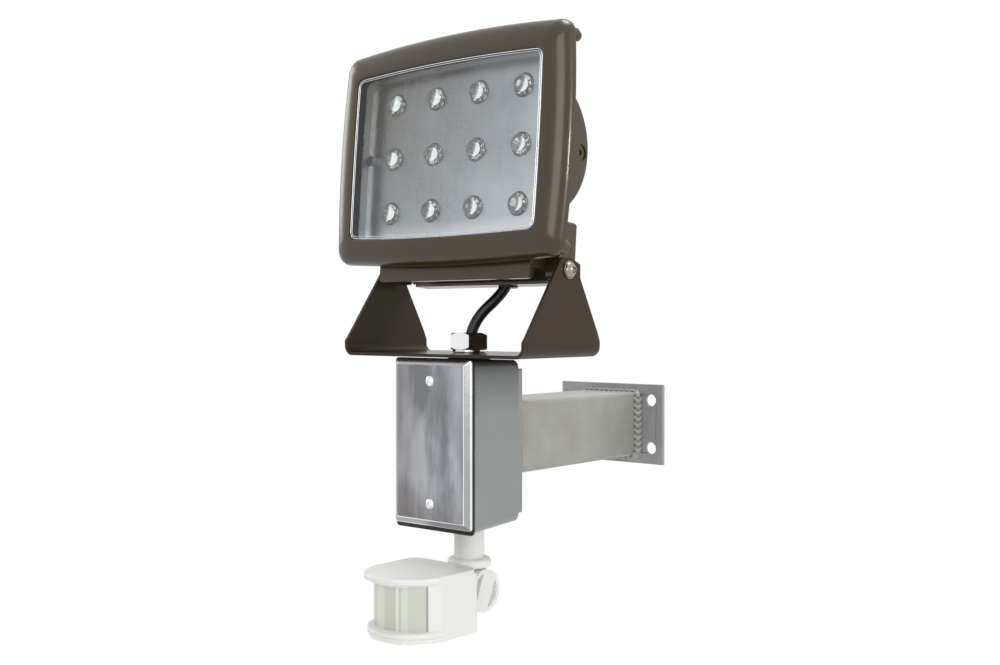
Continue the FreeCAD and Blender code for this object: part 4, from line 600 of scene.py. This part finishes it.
# ---- stage -------------------------------------------------------------------------------------
class LIGHT_OT_stage(Builder):
    """Camera at the photograph's angle, soft studio light and a pale floor"""
    bl_idname = "security_light.stage"
    bl_label = "Stage"

    def execute(self, context):
        settings = self.stage
        camera = bpy.data.objects.new("camera", bpy.data.cameras.new("camera"))
        context.scene.collection.objects.link(camera)
        camera.data.sensor_width, camera.data.lens = 36, settings.focal
        camera.data.clip_start, camera.data.clip_end = 0.05, 50
        camera.location = CAMERA_PLACE
        camera.rotation_mode = "QUATERNION"
        camera.rotation_quaternion = (
            Matrix.Rotation(settings.azimuth, 3, "Z")
            @ Matrix.Rotation(math.radians(90) - settings.fall, 3, "X")).to_quaternion()
        context.scene.camera = camera
        context.scene.view_settings.view_transform = "Standard"

        for name, place, power, size in LAMPS:
            self.lamp(name, place, power, size)
        self.room(settings.fill)
        self.floor(settings.floor_drop / MM)
        return {"FINISHED"}

    def lamp(self, name, place, power, size):
        """A square area lamp, turned towards the light."""
        lamp = bpy.data.lights.new(name, "AREA")
        lamp.energy, lamp.size = power, size
        made = bpy.data.objects.new(name, lamp)
        bpy.context.scene.collection.objects.link(made)
        made.location = place
        aim = LAMPS_LOOK_AT - made.location
        made.rotation_mode = "QUATERNION"
        made.rotation_quaternion = aim.to_track_quat("-Z", "Y")

    def room(self, level):
        """Even light from all round, which shows as white to the camera and in metal."""
        world = bpy.data.worlds.new("studio")
        bpy.context.scene.world = world
        world.use_nodes = True
        nodes = Nodes(world.node_tree)
        seen = sum((nodes.node("ShaderNodeLightPath", output=ray) for ray in
                    ("Is Glossy Ray", "Is Transmission Ray")),
                   nodes.node("ShaderNodeLightPath", output="Is Camera Ray"))
        white = nodes.node("ShaderNodeBackground", inputs={
            "Color": (1, 1, 1), "Strength": (seen > 0.5) * (1.0 - level) + level})
        nodes.node("ShaderNodeOutputWorld", inputs={"Surface": white})

    def floor(self, drop):
        """A pale floor that keeps the light's shadow, and fades to white further out."""
        finish = Finish("pale floor")
        paper = finish.shader((0.93, 0.93, 0.93), 0.9)
        glow = finish.node("ShaderNodeEmission", inputs={"Color": (1, 1, 1), "Strength": 1.0})
        path = finish.node("ShaderNodeLightPath", output="Is Camera Ray")
        other = finish.node("ShaderNodeLightPath", output="Is Glossy Ray")
        far = finish.node("ShaderNodeVectorMath", {"operation": "LENGTH"}, {0: finish.place},
                          output="Value")
        seen = (path + other) * (finish.spread(far, 0.5, 1.2) * 0.1 + 0.9)
        material = finish.done(finish.node("ShaderNodeMixShader",
                                           inputs={0: seen, 1: paper, 2: glow}))
        half = FLOOR_HALF
        mesh = bpy.data.meshes.new("floor")
        mesh.from_pydata([Vector((x, y, -drop)) * MM for x, y in
                          ((-half, -half), (half, -half), (half, half), (-half, half))],
                         [], [(0, 1, 2, 3)])
        mesh.materials.append(material)
        made = bpy.data.objects.new("floor", mesh)
        bpy.context.scene.collection.objects.link(made)


# ---- wall bracket ------------------------------------------------------------------------------
class LIGHT_OT_bracket(Builder):
    """Flange, square arm, end plate and their rippled weld beads"""
    bl_idname = "security_light.bracket"
    bl_label = "Wall bracket"

    def execute(self, context):
        colours, ease = self.colours, self.sizes.edge_round
        arm = mill_metal("arm mill finish", tuple(colours.arm_metal), along="Y")
        dress("arm_tube", arm)
        dress("mounting_plate", mill_metal("plate mill finish", tuple(colours.plate_metal),
                                           along="X"), ease)
        dress("wall_flange", mill_metal("flange plate", tuple(colours.flange_metal),
                                        along="X"), ease)
        bead = mill_metal("weld metal", tuple(colours.weld_metal), roughness=0.55, lines=0.1,
                          metallic=0.3)
        self.bead("flange_weld_bead", ARM_BACK, -1, bead, "flange_weld")
        self.bead("plate_weld_bead", ARM_FRONT, 1, bead, "plate_weld")
        return {"FINISHED"}

    def bead(self, name, face_y, towards, material, node):
        """A fillet of overlapping ripples all round the arm, flatter on its upper side."""
        leg, pitch = self.sizes.weld_leg / MM, self.sizes.weld_pitch / MM
        path = rounded(ARM_HALF, -ARM_HALF, ARM_HALF, ARM_CORNER_R, face_y, corner=6,
                       along=BEAD_SPACING)
        centre, along = Vector((0, face_y, 0)), Vector((0, towards, 0))
        travelled, loops = 0.0, []
        whole = sum((b - a).length for a, b in zip(path, path[1:] + path[:1]))
        ripples = round(whole / pitch)
        for i, spot in enumerate(path):
            before, after = path[i - 1], path[(i + 1) % len(path)]
            tangent = (after - before).normalized()
            out = Vector((0, 1, 0)).cross(tangent).normalized()
            if out.dot(spot - centre) < 0:
                out = -out
            cycle = travelled / whole * ripples
            wander = noise.noise(Vector((cycle * 0.7, face_y, 3.0)))
            section = [spot]
            for j in range(BEAD_STEPS + 1):
                angle = math.radians(90 * j / BEAD_STEPS)
                lean = cycle + 0.35 * math.sin(2 * angle)
                swell = 0.56 + 0.44 * abs(math.sin(math.pi * lean)) ** 0.5 + 0.08 * wander
                section.append(spot + (out * math.cos(angle) + along * math.sin(angle))
                               * (leg * min(swell, 1.0) * (1 - 0.5 * max(out.z, 0.0))))
            loops.append(section)
            travelled += (after - spot).length
        put(name, *skin(loops, closed=True), material, "bracket_box", "arm_metal", (node,),
            sharp=70)


# ---- outlet box --------------------------------------------------------------------------------
class LIGHT_OT_box(Builder):
    """Outlet box with its gasket, bright cover, screws and the wires inside"""
    bl_idname = "security_light.box"
    bl_label = "Outlet box"

    def execute(self, context):
        colours, ease = self.colours, self.sizes.edge_round
        dress("outlet_box", cast_enamel("box enamel", tuple(colours.box_grey)), ease)
        # the border's colour is a painted reflection, and the lines on its creases are painted
        # highlights
        self.cover(cover_steel("cover sheet", tuple(colours.cover_steel), COVER_LOWER_LEFT_TONE),
                   bright_plate("cover border", COVER_BORDER_REFLECTION, 0.24),
                   bright_plate("cover crease", COVER_CREASE_HIGHLIGHT, 0.2))
        self.gasket(rubber("gasket rubber", tuple(colours.black)))
        zinc = bright_plate("zinc plate", ZINC, 0.3)
        dress("cover_screws", bright_plate("screw steel", tuple(colours.plating)), ease * 0.5)
        dress("box_screws", zinc, ease * 0.5)
        dress("ground_screw", powder_coat("green screw", GREEN_SCREW), ease * 0.5)
        dress("splice_wires", rubber("wire insulation", INSULATION))
        dress("terminal_block", moulded("connector case", CONNECTOR))
        return {"FINISHED"}

    def cover(self, material, border, crease_highlight):
        """A drawn sheet: a short rim, a sloped border and a flat face, folded back inside."""
        rise, bevel, sheet = COVER_RISE, COVER_BEVEL, COVER_SHEET
        # how far in from the edge, and how far along Y from the rim, down the sheet's outside
        outer = [(0.0, 0.0), (0.05, -0.6), (0.3, -0.95), (0.8, -1.25),
                 (bevel - 0.9, -rise + 0.55), (bevel - 0.3, -rise + 0.22),
                 (bevel + 0.3, -rise + 0.05), (bevel + 1.0, -rise)]
        path = outer + [(s + sheet, y + sheet) for s, y in reversed(outer) if y + sheet <= 0]
        path.append((sheet, 0.0))
        loops = []
        for inset, y in path:
            loops.append(rounded(COVER_HALF_X - inset, -COVER_HALF_Z + inset, COVER_HALF_Z - inset,
                                 max(COVER_CORNER_R - inset * 0.5, 1.2), RIM_Y + y))
        front = len(outer) - 1
        sides = [skin(loops[:front + 1]), skin(loops[front + 1:])]
        count = len(loops[0])
        faces = [(loops[front], [tuple(range(count))]), (loops[front + 1], [tuple(range(count))])]
        made = put("cover_sheet", *merged(sides + faces), material, "bracket_box", "mirror_steel",
                   ("cover_plate",), sharp=50)
        made.data.materials.append(border)
        made.data.materials.append(crease_highlight)
        # painted reflection on the sloped border all round, and painted highlight lines on its
        # creases along the right side and the bottom
        for face in made.data.polygons:
            spot = face.center / MM
            side, end = COVER_HALF_X - abs(spot.x), COVER_HALF_Z - abs(spot.z)
            inset = min(side, end)
            bright = spot.x > 0 if side < end else spot.z < 0
            line = inset < 0.8 or inset > bevel - 0.4
            if inset < bevel + 0.4:
                face.material_index = 2 if line and bright else 1

    def gasket(self, material):
        """A pad that swells out a little past the cover, with a window in the middle."""
        bulge = self.sizes.gasket_bulge / MM
        thick = BOX_FRONT - RIM_Y
        loops = []
        for i in range(GASKET_STEPS + 1):
            angle = math.radians(180 * i / GASKET_STEPS)
            out = bulge * math.sin(angle)
            y = RIM_Y + thick * (1 - math.cos(angle)) / 2
            loop = rounded(COVER_HALF_X + out - bulge, -COVER_HALF_Z - GASKET_SAG - out + bulge,
                           COVER_HALF_Z + out - bulge, COVER_CORNER_R, y, along=1.5)
            for spot in loop:
                wave = (noise.noise(Vector((spot.x, 0, spot.z)) * 0.16) * GASKET_WAVE
                        * math.sin(angle))
                spot.x += math.copysign(wave, spot.x)
            loops.append(loop)
        window = [[Vector((p.x * GASKET_WINDOW[0], y, p.z * GASKET_WINDOW[1])) for p in loops[0]]
                  for y in (BOX_FRONT, RIM_Y)]
        put("gasket_pad", *skin(loops + window, closed=True), material, "bracket_box",
            "gasket_rubber", ("cover_gasket",), sharp=50)


# ---- cable gland and head cable ----------------------------------------------------------------
class LIGHT_OT_gland(Builder):
    """Plated gland with its hexagonal nut, seal and washer"""
    bl_idname = "security_light.gland"
    bl_label = "Cable gland"

    def execute(self, context):
        colours, ease = self.colours, self.sizes.edge_round
        plating = bright_plate("bright plating", tuple(colours.plating))
        for node in ("gland_body", "gland_nut"):
            dress(node, plating, ease)
        dress("gland_seal", rubber("seal rubber", tuple(colours.black)), ease)
        dress("gland_locknut", bright_plate("locknut zinc", ZINC, 0.3), ease)
        dress("yoke_washer", moulded("black washer", WASHER))
        return {"FINISHED"}


class LIGHT_OT_cable(Builder):
    """The head's cable and its bushing"""
    bl_idname = "security_light.cable"
    bl_label = "Head cable"

    def execute(self, context):
        radius = self.sizes.cable_radius
        curve = bpy.data.curves.new("cable route", "CURVE")
        curve.dimensions, curve.resolution_u = "3D", 24
        curve.bevel_depth, curve.bevel_resolution, curve.use_fill_caps = radius, 8, True
        spline = curve.splines.new("NURBS")
        spline.points.add(len(CABLE_POINTS) - 1)
        for point, place in zip(spline.points, CABLE_POINTS):
            point.co = (*(Vector(place) * MM), 1.0)
        spline.order_u, spline.use_endpoint_u = 3, True
        holder = bpy.data.objects.new("cable route", curve)
        bpy.context.scene.collection.objects.link(holder)
        bpy.context.view_layer.update()
        evaluated = holder.evaluated_get(bpy.context.evaluated_depsgraph_get())
        mesh = bpy.data.meshes.new_from_object(evaluated)
        bpy.data.objects.remove(holder)
        mesh.shade_smooth()
        made = bpy.data.objects.new("cable_jacket", mesh)
        bpy.context.scene.collection.objects.link(made)
        mesh.materials.clear()
        mesh.materials.append(rubber("cable jacket", tuple(self.colours.black), 0.4))
        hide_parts("head_cable")
        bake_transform(made)
        dress("cable_bushing", moulded("bushing", JET), self.sizes.edge_round)
        return {"FINISHED"}


# ---- yoke --------------------------------------------------------------------------------------
class LIGHT_OT_yoke(Builder):
    """Bent sheet yoke with its pivot bolts and washers"""
    bl_idname = "security_light.yoke"
    bl_label = "Yoke"

    def execute(self, context):
        colours, ease = self.colours, self.sizes.edge_round
        dress("yoke_bracket", powder_coat("yoke coat", tuple(colours.yoke_bronze), 0.0, coat=0.1,
                                          gloss=0.15))
        plating = bright_plate("bolt plating", tuple(colours.bolts), 0.24)
        dress("pivot_bolts", plating, ease * 0.7)
        dress("pivot_washers", plating, ease * 0.7)
        return {"FINISHED"}


# ---- floodlight head ---------------------------------------------------------------------------
class LIGHT_OT_frame(Builder):
    """The head's swollen front frame, closed all round"""
    bl_idname = "security_light.frame"
    bl_label = "Front frame"

    def execute(self, context):
        loops = [pillow(FRAME_OUTLINE, FRAME_BACK + FRAME_SEAM), pillow(FRAME_OUTLINE, FRAME_EDGE)]
        for i in range(1, FRAME_STEPS + 1):
            angle = math.radians(90 * i / FRAME_STEPS)
            inward = 1 - math.cos(angle) ** (2 / FRAME_SWELL)
            rise = math.sin(angle) ** (2 / FRAME_SWELL)
            depth = FRAME_EDGE + (FRAME_CROWN - FRAME_EDGE) * rise
            share = inward * (1 - FRAME_LIP / FRAME_BREADTH)
            loops.append(pillow(between(FRAME_OUTLINE, OPENING_OUTLINE, share), depth))
        for angle in (30, 60, 90):
            turn = math.radians(angle)
            loops.append(pillow(grown(OPENING_OUTLINE, FRAME_LIP * (1 - math.sin(turn))),
                                FRAME_CROWN - FRAME_LIP * (1 - math.cos(turn))))
        for by, depth in ((0, GLASS_FRONT), (GLASS_POCKET, GLASS_FRONT), (GLASS_POCKET, FACE_SEAT)):
            loops.append(pillow(grown(OPENING_OUTLINE, by), depth))
        for depth in (FACE_SEAT, FRAME_BACK):
            loops.append(pillow(grown(FRAME_OUTLINE, FRAME_SHOULDER), depth))
        loops.append(pillow(grown(FRAME_OUTLINE, -FRAME_SEAM), FRAME_BACK))
        coat = powder_coat("frame coat", tuple(self.colours.bronze))
        put("front_frame_shell", *skin(loops, closed=True), coat, "head", "bronze_coat",
            ("front_frame",), sharp=40)
        return {"FINISHED"}


class LIGHT_OT_housing(Builder):
    """Rear housing, wiring chamber cover and their screws"""
    bl_idname = "security_light.housing"
    bl_label = "Rear housing"

    def execute(self, context):
        colours, ease = self.colours, self.sizes.edge_round
        dress("rear_housing", powder_coat("housing coat", tuple(colours.bronze)), ease)
        dress("wiring_cover", powder_coat("chamber cover coat", tuple(colours.plate_bronze)), ease)
        black = moulded("blackened screws", JET)
        dress("frame_screws", black, ease)
        dress("wiring_cover_screws", black, ease)
        dress("led_driver", moulded("driver case", DRIVER_CASE), ease)
        return {"FINISHED"}


class LIGHT_OT_lamp(Builder):
    """Glass, bright tray, chips and clear domes"""
    bl_idname = "security_light.lamp"
    bl_label = "Lamp"

    def execute(self, context):
        colours, ease = self.colours, self.sizes.edge_round
        dress("lens_glass", see_through("front glass", CLEAR))
        # painted highlight lines along the glass's edge
        self.painted_glass_highlights(bright_plate("glass edge", GLASS_HIGHLIGHT, 0.2))
        dress("lens_gasket", rubber("lens seal", tuple(colours.black)))
        dress("reflector_tray", self.reflector())
        dress("tray_screws", bright_plate("posts", tuple(colours.reflector), 0.2), ease)
        dress("led_mount_plate", mill_metal("mount plate", MOUNT_PLATE))
        dress("led_board", moulded("solder mask", SOLDER_MASK))
        dress("led_chips", moulded("phosphor", tuple(colours.phosphor), 0.45))
        dress("led_lenses", self.optic())
        self.collars(bright_plate("optic collar", COLLAR, 0.2))
        return {"FINISHED"}

    def optic(self):
        """Clear moulded plastic that bends the view of the chip behind it."""
        finish = Finish("clear optic")
        haze = finish.noise(300, detail=2)
        return finish.done(finish.shader(CLEAR, haze * 0.03 + 0.01, 0.0,
                                         transmission_weight=1.0, ior=1.49))

    def reflector(self):
        """Rolled sheet with a soft grain and cloudy marks, with painted light: brighter low down on
        one side, dim at the upper left, and a painted highlight on its walls.
        """
        colours = self.colours
        finish = Finish("rolled reflector")
        streak = finish.noise(240, detail=5, stretch=(1, 1, 0.12))
        cloud = finish.spread(finish.noise(24, detail=5), 0.35, 0.7)
        # painted light: from the dim side at the upper left to the lit side at the lower right,
        # with a lit band low down
        place = (finish.along("X", -86, 86) * 0.4 + finish.along("Z", 258, 136) * 0.3
                 + cloud * 0.2 + streak * 0.1 + finish.along("Z", 152, 138) * 0.4)
        flat = finish.node("ShaderNodeValToRGB", {"stops": (
            (0.1, tuple(colours.reflector_dim)), (0.5, tuple(colours.reflector)),
            (0.95, tuple(colours.reflector_lit)))}, {"Fac": place})
        # painted highlight: the faces turned sideways, the tray's walls, are lighter than its floor
        face = finish.part_of(finish.node("ShaderNodeTexCoord", output="Normal"), "Y")
        wall = finish.spread(face * face, 0.9, 0.3)
        return finish.done(finish.shader(
            finish.mix(wall * 0.7, flat, TRAY_WALL_HIGHLIGHT),
            cloud * 0.12 + streak * 0.08 + 0.20, 0.9,
            finish.bump(finish.noise(30, detail=1), 0.15, 0.0005)))

    def painted_glass_highlights(self, material):
        """Two thin painted highlight lines, as bright rings at the glass's edge inside the frame.
        """
        lines = []
        for inset, radius in GLASS_HIGHLIGHT_LINES:
            turns = [math.radians(180 * i / 6) for i in range(7)]
            lines.append(skin([pillow(grown(OPENING_OUTLINE, radius * math.cos(a) - inset),
                                      GLASS_FRONT + radius * math.sin(a)) for a in turns],
                              closed=True))
        put("glass_highlight_lines", *merged(lines), material, "head", "clear_glass", sharp=60)

    def collars(self, material):
        """A thin bright ring round each optic, where the tray's hole is flanged."""
        parts = []
        axis = Vector((0, -1, 0))
        for row in range(LED_ROWS):
            for column in range(LED_COLUMNS):
                x = (column - (LED_COLUMNS - 1) / 2) * LED_PITCH_X
                z = (row - (LED_ROWS - 1) / 2) * LED_PITCH_Z
                centre = Vector((x, FACE.y - TRAY_FLOOR, FACE.z + z))
                loops = [[TILT @ p for p in ring_of(centre + axis * rise, axis, radius)]
                         for radius, rise in COLLAR_SECTION]
                parts.append(skin(loops, closed=True))
        put("optic_collars", *merged(parts), material, "head", "reflector_metal", sharp=60)


# ---- sensor ------------------------------------------------------------------------------------
class LIGHT_OT_sensor(Builder):
    """Sensor housing, brow, milky window, dials and the parts inside"""
    bl_idname = "security_light.sensor"
    bl_label = "Sensor"

    def execute(self, context):
        colours, ease = self.colours, self.sizes.edge_round
        white = moulded("sensor plastic", tuple(colours.white))
        for node in ("sensor_body", "sensor_hood", "sensor_bottom_cover", "swivel_neck",
                     "clamp_knob", "sensor_stem", "sensor_locknut"):
            dress(node, white, ease)
        dress("sensor_lens", window_film("window film", tuple(colours.window),
                                         self.sizes.lens_groove))
        dress("sensor_board", moulded("circuit board", CIRCUIT_BOARD))
        dress("infrared_element", bright_plate("element can", ELEMENT_CAN, 0.25))
        dress("adjuster_bodies", moulded("adjuster case", ADJUSTER))
        for node in ("range_dial", "time_dial"):
            dress(node, moulded(node + " plastic", DIAL), ease * 0.6)
        dress("clamp_nut", bright_plate("clamp nut zinc", ZINC, 0.3))
        self.sill(white)
        return {"FINISHED"}

    def sill(self, material):
        """The rounded lip under the window, with a groove round it."""
        loops = []
        for i in range(SILL_STEPS + 1):
            turn = math.pi * i / SILL_STEPS
            ahead = Vector((math.cos(turn) * SILL_HALF[0], -math.sin(turn) * SILL_HALF[1], 0))
            out = Vector((ahead.x / SILL_HALF[0] ** 2, ahead.y / SILL_HALF[1] ** 2, 0)).normalized()
            loops.append([Vector((0, SILL_MIDDLE_Y, z)) + ahead + out * proud
                          for proud, z in SILL_SECTION])
        put("sensor_sill", *skin(loops, ends=True), material, "sensor_head", "sensor_white",
            sharp=28)


class LIGHT_PT_parts(bpy.types.Panel):
    """The light's pieces and settings"""
    bl_idname = "LIGHT_PT_parts"
    bl_label = "Security light"
    bl_space_type = "VIEW_3D"
    bl_region_type = "UI"
    bl_category = "Security light"

    def draw(self, context):
        column = self.layout.column()
        for operator in OPERATORS:
            column.operator(operator.bl_idname)
        for group in (context.scene.security_light_sizes, context.scene.security_light_colours,
                      context.scene.security_light_stage):
            for name in group.__annotations__:
                column.prop(group, name)


GROUPS = (LightSizes, LightColours, StageSettings)
OPERATORS = (LIGHT_OT_stage, LIGHT_OT_cable, LIGHT_OT_bracket, LIGHT_OT_box, LIGHT_OT_gland,
             LIGHT_OT_yoke, LIGHT_OT_frame, LIGHT_OT_housing, LIGHT_OT_lamp, LIGHT_OT_sensor)


def register():
    for made in (*GROUPS, *OPERATORS, LIGHT_PT_parts):
        bpy.utils.register_class(made)
    scene = bpy.types.Scene
    scene.security_light_sizes = bpy.props.PointerProperty(type=LightSizes)
    scene.security_light_colours = bpy.props.PointerProperty(type=LightColours)
    scene.security_light_stage = bpy.props.PointerProperty(type=StageSettings)


def unregister():
    scene = bpy.types.Scene
    del scene.security_light_sizes
    del scene.security_light_colours
    del scene.security_light_stage
    for made in reversed((*GROUPS, *OPERATORS, LIGHT_PT_parts)):
        bpy.utils.unregister_class(made)


def main():
    register()
    for operator in OPERATORS:
        group, name = operator.bl_idname.split(".")
        getattr(getattr(bpy.ops, group), name)()


if __name__ == "__main__":
    main()
